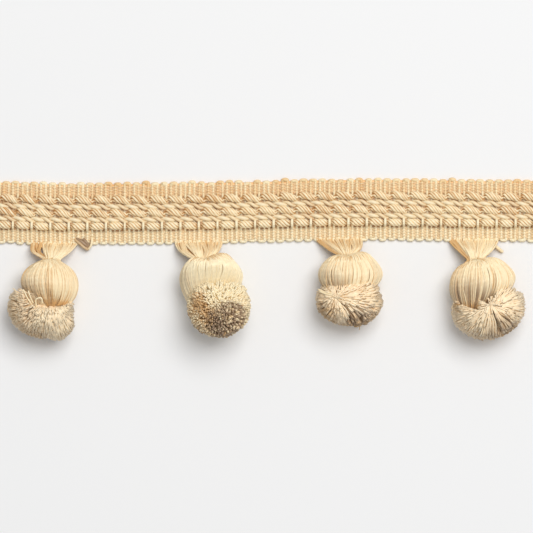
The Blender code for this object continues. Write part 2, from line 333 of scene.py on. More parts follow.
# %% The relief of the plies
def make_ply_relief():
    """Height = |sin(pi * phase)| + fibre * noise, phase = plies * turn round the yarn + twist * way along.

    The way along is in millimetres. The noise is read at (5 * phase, 0.8 * way along), so it is drawn out
    into fibres that follow the plies.
    """
    sockets = [(name, "NodeSocketFloat") for name in ("Plies", "Twist", "Fibre")]
    group, given, result = new_group("ply relief", sockets, [("Height", "NodeSocketFloat")])
    place = add_node(group, "ShaderNodeSeparateXYZ")
    uv = add_node(group, "ShaderNodeUVMap", uv_map="yarn")
    group.links.new(uv.outputs[0], place.inputs[0])
    round_yarn = maths(group, "MULTIPLY", place.outputs[0], given.outputs["Plies"])
    phase = maths(group, "MULTIPLY_ADD", place.outputs[1], given.outputs["Twist"], round_yarn)
    wave = maths(group, "SINE", maths(group, "MULTIPLY", phase, math.pi))
    ridge = maths(group, "ABSOLUTE", wave)
    stretched = add_node(group, "ShaderNodeCombineXYZ")
    feed(group, stretched.inputs[0], maths(group, "MULTIPLY", phase, 5.0))
    feed(group, stretched.inputs[1], maths(group, "MULTIPLY", place.outputs[1], 0.8))
    fibres = add_node(group, "ShaderNodeTexNoise")
    fibres.inputs["Scale"].default_value = 1.0
    fibres.inputs["Detail"].default_value = 2.0
    group.links.new(stretched.outputs[0], fibres.inputs["Vector"])
    height = maths(group, "MULTIPLY_ADD", fibres.outputs["Fac"], given.outputs["Fibre"], ridge)
    group.links.new(height, result.inputs["Height"])
    return group


PLY_RELIEF = make_ply_relief()


# %% The mix of the dye and the painted shade
STREAK_SIZE = MM / 1.3
PATCH_SIZE = 9 * MM


def make_dye_and_shade():
    """The main colour, towards the deep one in broad patches and the pale one in fine streaks.

    Share of deep = 1.6 * patches - 0.9 * tone - 0.15, and of pale = streaks + 0.7 * tone - 0.55, both held
    between 0 and 1: each yarn's own tone moves both, and that tone also carries painted shade and painted
    light. A greyer colour is mixed in where the dust_and_shade mark says, which is partly soiling and partly
    painted shade.
    """
    colours = [(name, "NodeSocketColor") for name in ("Main", "Pale", "Deep", "Dust and shade")]
    sockets = colours + [("Patch size", "NodeSocketFloat")]
    group, given, result = new_group("dye and painted shade", sockets, [("Colour", "NodeSocketColor")])
    tone = add_node(group, "ShaderNodeAttribute", attribute_name="tone").outputs["Fac"]
    dust_and_shade = add_node(group, "ShaderNodeAttribute", attribute_name="dust_and_shade").outputs["Fac"]
    place = add_node(group, "ShaderNodeTexCoord").outputs["Object"]
    broad = add_node(group, "ShaderNodeTexNoise")
    group.links.new(place, broad.inputs["Vector"])
    feed(group, broad.inputs["Scale"], maths(group, "DIVIDE", 1.0, given.outputs["Patch size"]))
    streaks = add_node(group, "ShaderNodeTexNoise")
    group.links.new(place, streaks.inputs["Vector"])
    streaks.inputs["Scale"].default_value = 1 / STREAK_SIZE
    deep = maths(group, "MULTIPLY_ADD", tone, -0.9, maths(group, "MULTIPLY", broad.outputs["Fac"], 1.6))
    deep = maths(group, "ADD", deep, -0.15, clamp=True)
    pale = maths(group, "MULTIPLY_ADD", tone, 0.7, streaks.outputs["Fac"])
    pale = maths(group, "ADD", pale, -0.55, clamp=True)
    colour = between(group, deep, given.outputs["Main"], given.outputs["Deep"])
    colour = between(group, pale, colour, given.outputs["Pale"])
    colour = between(group, dust_and_shade, colour, given.outputs["Dust and shade"])
    group.links.new(colour, result.inputs["Colour"])
    return group


DYE_AND_SHADE = make_dye_and_shade()


# %% Finishes
# A greyer brown, mixed in by the dust_and_shade mark: partly soiled yarn, partly painted shade.
DUST_AND_SHADE = (0.36, 0.24, 0.145)


def yarn_finish(name, main, pale, deep, plies, twist, fibre, relief, roughness=0.42):
    """A yarn's material: the shared mix of dye and painted shade feeds its colour, and the shared relief its
    bump.
    """
    material = bpy.data.materials.new(name)
    material.use_nodes = True
    tree = material.node_tree
    shader = tree.nodes["Principled BSDF"]
    shader.inputs["Roughness"].default_value = roughness
    shader.inputs["Specular IOR Level"].default_value = 0.5
    dye = add_node(tree, "ShaderNodeGroup", node_tree=DYE_AND_SHADE)
    for socket, colour in (("Main", main), ("Pale", pale), ("Deep", deep), ("Dust and shade", DUST_AND_SHADE)):
        dye.inputs[socket].default_value = (*colour, 1)
    dye.inputs["Patch size"].default_value = PATCH_SIZE
    plied = add_node(tree, "ShaderNodeGroup", node_tree=PLY_RELIEF)
    for socket, value in (("Plies", plies), ("Twist", twist), ("Fibre", fibre)):
        plied.inputs[socket].default_value = value
    bump = add_node(tree, "ShaderNodeBump")
    bump.inputs["Strength"].default_value = 1.0
    bump.inputs["Distance"].default_value = relief
    tree.links.new(plied.outputs["Height"], bump.inputs["Height"])
    tree.links.new(bump.outputs["Normal"], shader.inputs["Normal"])
    tree.links.new(dye.outputs["Colour"], shader.inputs["Base Color"])
    return material


weft_finish = yarn_finish(
    "weft yarn", (0.96, 0.79, 0.48), (0.99, 0.88, 0.62), (0.86, 0.56, 0.26),
    plies=1, twist=2.1, fibre=0.5, relief=0.07 * MM,
)
warp_finish = yarn_finish(
    "warp thread", (0.95, 0.67, 0.37), (0.97, 0.80, 0.53), (0.88, 0.52, 0.23),
    plies=2, twist=1.5, fibre=0.4, relief=0.02 * MM,
)
cord_finish = yarn_finish(
    "cord yarn", (0.95, 0.75, 0.45), (0.98, 0.86, 0.60), (0.62, 0.33, 0.12),
    plies=2, twist=0.6, fibre=0.4, relief=0.02 * MM,
)
dark_line_finish = yarn_finish(
    "dark line thread", (0.45, 0.22, 0.09), (0.62, 0.36, 0.17), (0.33, 0.15, 0.06),
    plies=2, twist=1.5, fibre=0.4, relief=0.02 * MM,
)
pompom_finish = yarn_finish(
    "pompom yarn", (0.96, 0.77, 0.48), (1.00, 0.87, 0.60), (0.74, 0.46, 0.20),
    plies=2, twist=0.6, fibre=0.6, relief=0.03 * MM, roughness=0.38,
)
brush_finish = yarn_finish(
    "cut yarn", (1.00, 0.755, 0.485), (1.00, 0.840, 0.590), (0.76, 0.46, 0.16),
    plies=2, twist=0.6, fibre=0.6, relief=0.03 * MM, roughness=0.35,
)
print("finishes:", ", ".join(material.name for material in bpy.data.materials if material.use_nodes))

# %% [markdown]
# ## The woven ground
#
# Under everything lies the braid's ground: fine warp threads packed side by side, which the thick weft
# crosses. It shows only as a floor between the ribs, so it is one closed sheet with the weave as low
# relief, and not thousands of threads. Its edges stop short of the picots, which stand free of it.

# %% The ground sheet
WARP_PITCH = 0.42 * MM
GROUND_HALF = HALF_WIDTH - 0.60 * MM
GROUND_TOP = 0.98 * MM
GROUND_BACK = 0.02 * MM
GROUND_RELIEF = 0.10 * MM
CORD_BED_HALF = 5.3 * MM
CORD_BED_RISE = 1.05 * MM
COLUMNS_A_RIB = 3
GROUND_ROWS = 22
# Painted shade along both edges, under the picots: where it is deepest and how wide it is.
EDGE_SHADE_REACH = 0.5 * MM
STAIN_MIDDLE = -48.0 * MM
STAIN_WIDTH = 5.0 * MM
STAIN_FROM = 4.0 * MM
GROUND_TONE = 0.35
# Painted shade under the picots, along both edges.
GROUND_EDGE_SHADE = 0.9
STAINED_GROUND_DEEPER = 0.5
# Painted light on the lower half, against the cords' shadow.
LOWER_GROUND_PAINTED_LIGHT = 0.8
# Painted shade beside and under the cords, in tone and in the greyer mark.
CORD_BED_SHADE = 1.5
GROUND_BED_PAINTED_SHADE = 0.6


def ground_rings():
    """Sections across the heading: the face from upper to lower edge, then the back from lower to upper.

    Face and back both ripple by cos(rib phase) * cos(warp phase), as over and under do in plain weave, and
    the face is padded under the cords.
    """
    x = np.linspace(-LENGTH / 2, LENGTH / 2, RIB_COUNT * COLUMNS_A_RIB + 1)[:, None]
    y = np.linspace(GROUND_HALF, -GROUND_HALF, GROUND_ROWS + 1)[None, :]
    ripple = np.cos(np.pi * x / RIB_PITCH) * np.cos(np.pi * y / WARP_PITCH)
    across = sway(x) + y
    bed = CORD_BED_RISE * ease((CORD_BED_HALF - np.abs(y)) / MM)
    face = stack(x, across, GROUND_TOP + bed + GROUND_RELIEF * ripple)
    back = stack(x, across, GROUND_BACK + GROUND_RELIEF * (1 + ripple))[:, ::-1]
    return np.concatenate((face, back), axis=1)


def stain(points):
    """1 in the middle of the one stretch of the upper edge that is browner, easing to 0 away from it."""
    return bell(points[..., 0] - STAIN_MIDDLE, STAIN_WIDTH) * ease(points[..., 1] / STAIN_FROM - 1)


# The ground gets painted shade along both edges, under the picots, and deeper painted shade beside and under
# the cords, in its tone and its greyer mark. It is deeper in the stain, and its lower half is paler: painted
# light against the cords' shadow.
rings = ground_rings()
to_edge = GROUND_HALF - np.abs(rings[..., 1] - sway(rings[..., 0]))
in_cord_bed = to_edge > GROUND_HALF - CORD_BED_HALF
ground_tone = GROUND_TONE - GROUND_EDGE_SHADE * bell(to_edge - EDGE_SHADE_REACH, EDGE_SHADE_REACH)
ground_tone -= STAINED_GROUND_DEEPER * stain(rings)
ground_tone += LOWER_GROUND_PAINTED_LIGHT * (rings[..., 1] < 0)
ground_tone -= CORD_BED_SHADE * in_cord_bed
ground_painted_shade = GROUND_BED_PAINTED_SHADE * in_cord_bed
ground_along = (rings[None, :, 0, 0] + LENGTH / 2) / MM
woven_ground = add_piece(
    "woven_ground",
    [skin_rings(rings[None], ground_along, {"tone": ground_tone[None], "dust_and_shade": ground_painted_shade[None]})],
    warp_finish,
)

# %% [markdown]
# ## The ribs and their picots
#
# The ribs that run across the braid are a single thick weft. It crosses the heading, turns back in a small
# loop, the picot, and crosses again, 120 times. Two neighbouring ribs share a picot at one edge, and each
# shares one with its other neighbour at the other edge. Drawing one rib and repeating it would lose the
# turns, so the path is one serpentine: straight crossings joined by squarish loops that nearly touch.

# %% One serpentine weft
RIB_RADIUS = 0.43 * MM
RIB_HEIGHT = 1.05 * MM
RIB_UNDER_CORDS = 2.00 * MM
RIB_STRAY = 0.05 * MM
# Painted shade on the underside of each rib.
RIB_GROOVE_SHADE = 0.9
PICOT_TURN = 0.74 * MM
PICOT_SPREAD = 0.34 * MM
PICOT_SQUARENESS = 0.62
PICOT_DROP = 0.20 * MM
PICOT_SAMPLES = 9
LOWER_UNEVEN = 0.10 * MM
UPPER_UNEVEN = 0.16 * MM
LOWER_SWELL = 0.12
UPPER_SWELL = 0.70
OWN_SWELL = (0.55, 1.15)
SWELL_STRAY = 0.06
UPPER_SPREAD = 0.75
UPPER_INSET = 0.22 * MM
CROSSING_HALF = HALF_WIDTH - RIB_RADIUS - PICOT_TURN
CROSSING_SAMPLES = 40
TIE_RIB = 1
TIE_RISE = 1.35 * MM
TIE_HALF = 1.1 * MM
UPPER_TIE_SHARE = 0.55
WEFT_TONE = 0.65
WEFT_UNEVEN = 0.3
# Painted light on the lower half, against the cords' shadow.
LOWER_WEFT_PAINTED_LIGHT = 0.9
UPPER_PICOTS_DEEPER = 0.35
STAINED_WEFT_DEEPER = 0.9
# Painted shade beside and under the cords, and the height above which it stops.
WEFT_BED_PAINTED_SHADE = 0.5
SHADED_BELOW = RIB_UNDER_CORDS + 0.1 * MM

# Where the upper picots stand a little proud of the rest: along, how much, over what length.
PROUD_PICOTS = (
    (-38.8 * MM, 0.40 * MM, 1.5 * MM),
    (-15.4 * MM, 0.40 * MM, 1.5 * MM),
    (4.0 * MM, 0.30 * MM, 3.0 * MM),
    (12.0 * MM, 0.40 * MM, 4.0 * MM),
    (29.0 * MM, 0.35 * MM, 2.0 * MM),
)


def tie_profile(y, aside):
    """How much of its rise a rib has at y, as it ties a cord: exp of minus (distance / half width) ^ 4."""
    return np.exp(-(((y - aside) / TIE_HALF) ** 4))


def rib_height(y, ties):
    """The rib's middle above the surface: higher on the padded bed, and over the outer cords at a tie."""
    bed = ease((CORD_BED_HALF - np.abs(y)) / MM + 0.5)
    low = RIB_HEIGHT + (RIB_UNDER_CORDS - RIB_HEIGHT) * bed
    over_lower = tie_profile(y, aside_of("cord_lower"))
    over_upper = tie_profile(y, aside_of("cord_upper")) * UPPER_TIE_SHARE
    return low + ties * TIE_RISE * (over_lower + over_upper)


def serpentine(rng):
    """The weft's path and radius. Even ribs run down and odd ones up, and picots join them.

    A picot is half a superellipse: half width * |cos a| ^ squareness and reach * (sin a) ^ squareness. The
    picots are uneven. The upper ones are set in, swell each by its own share, and in places stand proud.
    """
    rib = np.arange(RIB_COUNT)
    down = np.where(rib % 2 == 0, 1, -1)[:, None]
    x = (-LENGTH / 2 + (rib + 0.5) * RIB_PITCH)[:, None]
    uneven = rng.normal(0, RIB_STRAY, (RIB_COUNT, 1))
    bow = wander(rng, RIB_COUNT, CROSSING_SAMPLES, 4, RIB_STRAY)
    y = down * np.linspace(CROSSING_HALF, -CROSSING_HALF, CROSSING_SAMPLES)
    ties = (rib % TIE_EVERY == TIE_RIB)[:, None]
    crossing = stack(x + uneven + bow, y, rib_height(y, ties))

    angle = np.pi * np.arange(1, PICOT_SAMPLES + 1) / (PICOT_SAMPLES + 1)
    proud = sum(rise * bell(x - place, width) for place, rise, width in PROUD_PICOTS) * (down < 0)
    reach = PICOT_TURN + proud - np.where(down < 0, UPPER_INSET, 0)
    reach += rng.normal(0, 1, (RIB_COUNT, 1)) * np.where(down < 0, UPPER_UNEVEN, LOWER_UNEVEN)
    ends = crossing[:, -1:, 0], np.roll(crossing[:, :1, 0], -1, axis=0)
    spread = PICOT_SPREAD * np.where(down < 0, UPPER_SPREAD, 1)
    half = (ends[1] - ends[0]) / 2 + spread * np.sin(angle)
    swing = np.sign(np.cos(angle)) * np.abs(np.cos(angle)) ** PICOT_SQUARENESS
    picot_x = (ends[0] + ends[1]) / 2 - half * swing
    picot_y = -down * (CROSSING_HALF + reach * np.sin(angle) ** PICOT_SQUARENESS)
    picot = stack(picot_x, picot_y, RIB_HEIGHT - PICOT_DROP * np.sin(angle))
    path = np.concatenate((crossing, picot), axis=1).reshape(1, -1, 3)[:, :-PICOT_SAMPLES]
    own_share = rng.uniform(*OWN_SWELL, (RIB_COUNT, 1))
    swell = np.where(down < 0, UPPER_SWELL * own_share, LOWER_SWELL) * np.sin(angle)
    swell = np.concatenate((np.zeros((RIB_COUNT, CROSSING_SAMPLES)), swell), axis=1)
    swell = swell.ravel()[:-PICOT_SAMPLES] + wander(rng, 1, path.shape[1], 3 * RIB_COUNT, SWELL_STRAY)[0]
    path[..., 1] += sway(path[..., 0])
    return path, RIB_RADIUS * (1 + swell)


rng = np.random.default_rng(11)
weft_path, weft_radius = serpentine(rng)
# The weft is paler in its lower half, painted light against the cords' shadow, and deeper in the upper
# picots and the stain.
weft_tone = WEFT_TONE + wander(rng, 1, weft_path.shape[1], 3 * RIB_COUNT, WEFT_UNEVEN)
weft_tone += LOWER_WEFT_PAINTED_LIGHT * (weft_path[..., 1] < 0)
weft_tone -= UPPER_PICOTS_DEEPER * (weft_path[..., 1] > CROSSING_HALF)
weft_tone -= STAINED_WEFT_DEEPER * stain(weft_path)
# Beside and under the cords it gets painted shade, in the greyer mark, but not where it ties over them.
from_middle = np.abs(weft_path[..., 1] - sway(weft_path[..., 0]))
in_shade = ease((CORD_BED_HALF - from_middle) / MM) * (weft_path[..., 2] < SHADED_BELOW)
weft_painted_shade = WEFT_BED_PAINTED_SHADE * in_shade
weft_yarn = tube_yarns(weft_path, weft_radius, 6, groove=RIB_GROOVE_SHADE, tone=weft_tone, dust_and_shade=weft_painted_shade)
weft_ribs = add_piece("weft_ribs", [weft_yarn], weft_finish)

# %% [markdown]
# ## The warp threads
#
# In the two bare bands beside the cords, fine threads run along the heading and bind the ribs: over one
# rib, under the next. They are what gives the ribs their beaded look, so they are real threads here, each
# on a cosine wave whose half turn is one rib.

# %% Threads over and under the ribs
WARP_RADIUS = 0.15 * MM
WARP_MIDDLE = 1.18 * MM
WARP_SWING = 0.36 * MM
WARP_STRAY = 0.03 * MM
WARP_UNEVEN = 0.3
SAMPLES_A_RIB = 4
BAND_THREADS = 8
WARP_BANDS = (
    # how far aside a band's first thread lies, how pale its threads are
    (5.55 * MM, 0.8),
    # The lower band is paler: painted light against the cords' shadow.
    (-8.70 * MM, 1.3),
)


def warp_paths(rng, first, count):
    """Threads along the heading at height middle + swing * cos(pi * along / rib pitch + own turn)."""
    samples = RIB_COUNT * SAMPLES_A_RIB + 1
    x = np.linspace(-LENGTH / 2, LENGTH / 2, samples)[None, :]
    aside = (first + WARP_PITCH * np.arange(count))[:, None]
    aside = aside + wander(rng, count, samples, 60, WARP_STRAY)
    turn = (np.arange(count) % 2)[:, None]
    lift = np.cos(np.pi * ((x + LENGTH / 2) / RIB_PITCH - 0.5 + turn))
    return stack(x, sway(x) + aside, WARP_MIDDLE + WARP_SWING * lift)


rng = np.random.default_rng(12)
band_paths = [warp_paths(rng, first, BAND_THREADS) for first, _ in WARP_BANDS]
warp_sets = [
    tube_yarns(paths, WARP_RADIUS, 4, tone=tone + rng.uniform(-WARP_UNEVEN, WARP_UNEVEN, BAND_THREADS))
    for paths, (_, tone) in zip(band_paths, WARP_BANDS)
]
warp_threads = add_piece("warp_threads", warp_sets, warp_finish)

# %% [markdown]
# ## The three twisted cords
#
# Three soft cords of five plies lie along the face. A tie pinches each one at every fourth rib, so it
# swells between ties into a lump about as long as three ribs. One tube with a bump map would look painted
# on: every ply is its own helix, and the pinch squeezes the helix and the ply alike.

# %% Helices of five plies
PLIES = 5
SAMPLES_A_REPEAT = 24
CORD_LAY = 6.0 * MM
PLY_CENTRE = 0.74 * MM
PLY_RADIUS = 0.41 * MM
# Painted shade in the grooves between the plies.
PLY_GROOVE_SHADE = 3.0
PLY_SQUEEZE = 0.7
PLY_STRAY = 0.03 * MM
PLY_UNEVEN = 0.25
CORD_STRAY = 0.07 * MM
CORD_TURN_STRAY = 0.25
SLANTED_LUMP = (
    # share of the repeat, aside and height in millimetres, fullness
    (0.00, 0.05, 1.95, 0.72),
    (0.10, 0.48, 2.35, 0.94),
    (0.34, 0.32, 2.60, 1.14),
    (0.60, -0.04, 2.50, 1.10),
    (0.78, -0.46, 2.32, 0.98),
    (0.92, -0.70, 2.02, 0.82),
)
STRAIGHT_LUMP = (
    # the same columns
    (0.00, 0.00, 1.35, 0.40),
    (0.15, 0.10, 1.95, 0.74),
    (0.26, 0.06, 2.42, 1.08),
    (0.50, 0.00, 2.50, 1.16),
    (0.74, -0.06, 2.42, 1.08),
    (0.86, -0.10, 1.95, 0.72),
)
CORDS = (
    # piece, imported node, where its lumps start in the repeat, shape of a lump, how pale it is
    ("upper_cord", "cord_upper", 0.30, SLANTED_LUMP, 0.80),
    ("middle_cord", "cord_middle", 0.45, SLANTED_LUMP, 0.85),
    ("lower_cord", "cord_lower", 0.60, STRAIGHT_LUMP, 1.15),
)


def along_repeat(x, start, knots):
    """The columns of a lump's table at places x: eased steps from knot to knot, over and over."""
    table = np.array(knots)
    table = np.concatenate((table, table[:1] + (1, 0, 0, 0)))
    share = (x / REPEAT + start) % 1
    knot = np.searchsorted(table[:, 0], share, side="right") - 1
    before, after = table[knot], table[knot + 1]
    step = ease((share - before[..., 0]) / (after[..., 0] - before[..., 0]))[..., None]
    aside, height, full = np.moveaxis((before + (after - before) * step)[..., 1:], -1, 0)
    return aside * MM, height * MM, full


def cord_plies(rng, aside, start, knots, paleness):
    """Tubes on helices: cord's middle + (cos t, sin t) * fullness * ply centre, t = turns along the lay.

    A ply's own radius is squeezed less than the helix, by fullness ^ ply squeeze.
    """
    samples = RIB_COUNT // TIE_EVERY * SAMPLES_A_REPEAT + 1
    x = np.linspace(-LENGTH / 2, LENGTH / 2, samples)[None, :]
    ply = np.arange(PLIES)[:, None]
    stray, height, full = along_repeat(x, start, knots)
    turn = 2 * np.pi * (x / CORD_LAY + ply / PLIES) + wander(rng, 1, samples, 30, CORD_TURN_STRAY)
    out = PLY_CENTRE * full + wander(rng, PLIES, samples, 90, PLY_STRAY)
    middle = sway(x) + aside + stray + wander(rng, 1, samples, 30, CORD_STRAY)
    paths = stack(x, middle + out * np.cos(turn), height + out * np.sin(turn))
    # Painted shade: each ply darkens on its side that faces the cord's middle.
    outward = unit(paths - stack(x, middle, height))
    tone = paleness + rng.uniform(-PLY_UNEVEN, PLY_UNEVEN, (PLIES, 1))
    tone = tone + wander(rng, PLIES, samples, 60, 0.2)
    return tube_yarns(paths, PLY_RADIUS * full**PLY_SQUEEZE, 6, outward, PLY_GROOVE_SHADE, tone)


rng = np.random.default_rng(13)
cord_pieces = []
for piece, node, *lumps in CORDS:
    cord_pieces.append(add_piece(piece, [cord_plies(rng, aside_of(node), *lumps)], cord_finish))

# %% [markdown]
# ## The two slack strands
#
# Between the cords lie two slack strands of two unequal plies. The thicker, paler ply shows as a flat
# lozenge, and the thinner one passes over it, slanting down to the right. One turn of the pair is one
# repeat of the ties, so a lozenge sits beside every lump.

# %% A thicker and a thinner ply
STRAND_SAMPLES = 481
STRAND_HEIGHT = 2.15 * MM
STRAND_DUST = 0.12
# Painted shade on each ply's underside.
STRAND_GROOVE_SHADE = 1.8
STRAND_STRAY = 0.06 * MM
STRAND_THINNING = 0.22
STRANDS = (
    # piece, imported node, where its lozenges start in the repeat
    ("upper_strand", "strand_upper", 0.75),
    ("lower_strand", "strand_lower", 0.80),
)
STRAND_PLIES = (
    # own turn, swing aside, swing up, radius, how pale it is
    (0.0, 0.28 * MM, 0.36 * MM, 0.74 * MM, 1.15),
    (0.5, 0.66 * MM, 0.44 * MM, 0.64 * MM, 0.65),
)


def strand_ply(rng, aside, start, own_turn, swing_aside, swing_up, radius):
    """One ply: middle + (swing aside * cos t, swing up * sin t), so it slants down while it lies on top.

    Its radius is whole on top, and smaller by twice the thinning at its lowest.
    """
    x = np.linspace(-LENGTH / 2, LENGTH / 2, STRAND_SAMPLES)[None, :]
    phase = 2 * np.pi * (x / REPEAT + start - 0.25 + own_turn)
    y = sway(x) + aside + swing_aside * np.cos(phase) + wander(rng, 1, STRAND_SAMPLES, 60, STRAND_STRAY)
    z = STRAND_HEIGHT + swing_up * np.sin(phase)
    full = 1 - STRAND_THINNING + STRAND_THINNING * np.sin(phase)
    return stack(x, y, z), radius * full


rng = np.random.default_rng(14)
strand_pieces = []
for piece, node, start in STRANDS:
    plies = []
    for own_turn, swing_aside, swing_up, radius, tone in STRAND_PLIES:
        path, radii = strand_ply(rng, aside_of(node), start, own_turn, swing_aside, swing_up, radius)
        plies.append(tube_yarns(path, radii, 7, groove=STRAND_GROOVE_SHADE, tone=tone, dust_and_shade=STRAND_DUST))
    strand_pieces.append(add_piece(piece, plies, cord_finish))

# %% [markdown]
# ## The dark thread under the lower cord
#
# A thin dark brown thread lies along the lower side of each lump of the lower cord. It shows as a dark line
# there, and passes out of sight under each tie.

# %% One thin thread under the lower cord
DARK_LINE_RADIUS = 0.31 * MM
DARK_LINE_SAMPLES = 961
DARK_LINE_LOW = 0.9 * MM
DARK_LINE_RISE = 0.75 * MM
DARK_LINE_PINCHED = 0.6


def dark_line_path():
    """Along the lower side of the lumps: aside = the cord's middle less its squeezed radius.

    It rises as the cord's fullness grows from pinched to 1, and stays low where a tie pinches the cord.
    """
    _, node, start, knots, _ = CORDS[2]
    x = np.linspace(-LENGTH / 2, LENGTH / 2, DARK_LINE_SAMPLES)[None, :]
    stray, height, full = along_repeat(x, start, knots)
    y = sway(x) + aside_of(node) + stray - (PLY_CENTRE + PLY_RADIUS) * full
    rise = DARK_LINE_RISE * ease((full - DARK_LINE_PINCHED) / (1 - DARK_LINE_PINCHED))
    return stack(x, y, DARK_LINE_LOW + rise)


dark_line_thread = add_piece("dark_line_thread", [tube_yarns(dark_line_path(), DARK_LINE_RADIUS, 5)], dark_line_finish)

# %% [markdown]
# ## The pompoms' places
#
# Each pompom is a hank of yarn folded over and bound twice: it hangs from a fan of yarns, swells to a
# ball, is bound again at the waist, and its cut ends flare into a brush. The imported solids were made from
# the places below, so the same values put the yarns where the solids are. A brush's axis is its heading
# on the surface, tipped up by its tilt.

# %% Places and sizes of the pompoms
# Lengths are in millimetres and tilts in degrees.
POMPOMS = (
    {
        "name": "pompom_1",
        "fan_at_edge": (-74.2, -60.2),
        "neck": (-67.7, -15.2, 6.8),
        "ball_top": (-68.2, -15.0, 7.2),
        "ball_centre": (-68.4, -22.7, 8.0),
        "ball_radii": (8.8, 8.3),
        "brush_centre": (-70.3, -30.7, 8.8),
        "brush_heading": (-0.16, -1.0),
        "brush_tilt": 6,
        "brush_crown_share": 0.75,
        "brush_reach": (11.4, 8.8, 9.4),
    },
    {
        "name": "pompom_2",
        "fan_at_edge": (-28.6, -14.1),
        "neck": (-20.0, -15.2, 7.6),
        "ball_top": (-18.6, -15.2, 8.4),
        "ball_centre": (-17.4, -20.9, 8.0),
        "ball_radii": (9.7, 8.3),
        "brush_centre": (-14.9, -30.0, 11.2),
        "brush_heading": (0.10, -1.0),
        "brush_tilt": 45,
        "brush_crown_share": 1,
        "brush_reach": (10.3, 8.4, 10.9),
    },
    {
        "name": "pompom_3",
        "fan_at_edge": (16.0, 30.2),
        "neck": (25.4, -14.0, 7.6),
        "ball_top": (25.8, -14.0, 8.4),
        "ball_centre": (26.4, -20.0, 8.1),
        "ball_radii": (9.9, 8.4),
        "brush_centre": (26.3, -28.3, 9.4),
        "brush_heading": (-0.04, -1.0),
        "brush_tilt": 0,
        "brush_crown_share": 0.55,
        "brush_reach": (10.7, 8.6, 7.8),
    },
    {
        "name": "pompom_4",
        "fan_at_edge": (58.2, 72.8),
        "neck": (65.9, -15.2, 7.2),
        "ball_top": (66.8, -15.2, 8.0),
        "ball_centre": (68.1, -22.2, 8.1),
        "ball_radii": (10.2, 8.4),
        "brush_centre": (69.9, -30.6, 9.0),
        "brush_heading": (0.18, -1.0),
        "brush_tilt": -6,
        "brush_crown_share": 0.55,
        "brush_reach": (11.7, 9.2, 9.6),
    },
)
# How each ball looks. foot: where its yarns meet under the brush. neck_width: how wide the neck is.
# shoulders: how far the crown swells up beside the neck, on the left and on the right. tone: how pale it
# is, and foot_shade: how much painted shade darkens it towards the foot. grey_way and grey: the way its
# greyer side faces, away from the light, and how grey that is, partly grey yarn and partly painted shade.
# creases: angle round it in degrees, half width in degrees, share along it, length as a share and depth in
# millimetres; the creases also get painted shade.
BALLS = {
    "pompom_1": {
        "foot": (-68.0, -30.6, 9.0), "neck_width": 4.8, "shoulders": (-0.3, -0.5),
        "tone": -0.1, "foot_shade": 2.2, "grey_way": (-0.5, -0.8, 0.3), "grey": 1.0,
        "creases": (
            (88, 7, 0.86, 0.22, 0.6), (116, 4, 0.92, 0.25, 0.35), (62, 4, 0.92, 0.25, 0.35),
            (138, 4, 0.9, 0.25, 0.35), (40, 4, 0.9, 0.25, 0.35),
        ),
    },
    "pompom_2": {
        "foot": (-18.6, -31.0, 7.6), "neck_width": 5.0, "shoulders": (0.9, 2.4),
        "tone": 1.0, "foot_shade": 0.0, "grey_way": (-1.0, -0.45, -0.1), "grey": 0.5,
        "creases": ((118, 5, 0.06, 0.12, 0.3), (150, 5, 0.3, 0.3, 0.3), (165, 4, 0.4, 0.3, 0.3)),
    },
    "pompom_3": {
        "foot": (25.2, -26.8, 9.6), "neck_width": 4.2, "shoulders": (0.6, 1.8),
        "tone": 0.0, "foot_shade": 1.6, "grey_way": (-0.6, -0.7, 0.2), "grey": 1.0,
        "creases": (
            (104, 4, 0.05, 0.12, 0.3), (112, 3, 0.85, 0.25, 0.2), (125, 3, 0.8, 0.25, 0.25),
            (138, 3, 0.7, 0.25, 0.25), (95, 3, 0.8, 0.2, 0.2),
        ),
    },
    "pompom_4": {
        "foot": (65.8, -31.0, 9.0), "neck_width": 5.0, "shoulders": (-0.5, 1.2),
        "tone": 0.0, "foot_shade": 1.6, "grey_way": (-0.3, -0.8, 0.4), "grey": 1.3,
        "creases": (
            (90, 3, 0.75, 0.25, 0.25), (102, 3, 0.85, 0.25, 0.25),
            (114, 4, 0.8, 0.25, 0.3), (128, 3, 0.85, 0.25, 0.25), (142, 4, 0.8, 0.25, 0.3),
        ),
    },
}
SHOULDER_PEAK = 0.07
CROWN_FULLNESS = 0.46
FOOT_FULLNESS = 0.42


def place_of(row, key):
    """A place or size from the table, in metres."""
    return np.array(row[key], float) * MM


def brush_axis(row):
    """The way a brush points: its heading on the surface * cos(tilt) + up * sin(tilt)."""
    tilt = math.radians(row["brush_tilt"])
    flat = unit(np.array((*row["brush_heading"], 0.0)))
    return flat * math.cos(tilt) + UP * math.sin(tilt)


def square_to(axis):
    """Two directions square to an axis: one level, and one as upright as it can be."""
    level = unit(np.cross(axis, UP))
    return level, np.cross(level, axis)


def on_curve(start, middle, end, share):
    """A point of the quadratic curve that passes through middle half way."""
    pull = 2 * middle - (start + end) / 2
    return start * (1 - share) ** 2 + pull * 2 * share * (1 - share) + end * share**2


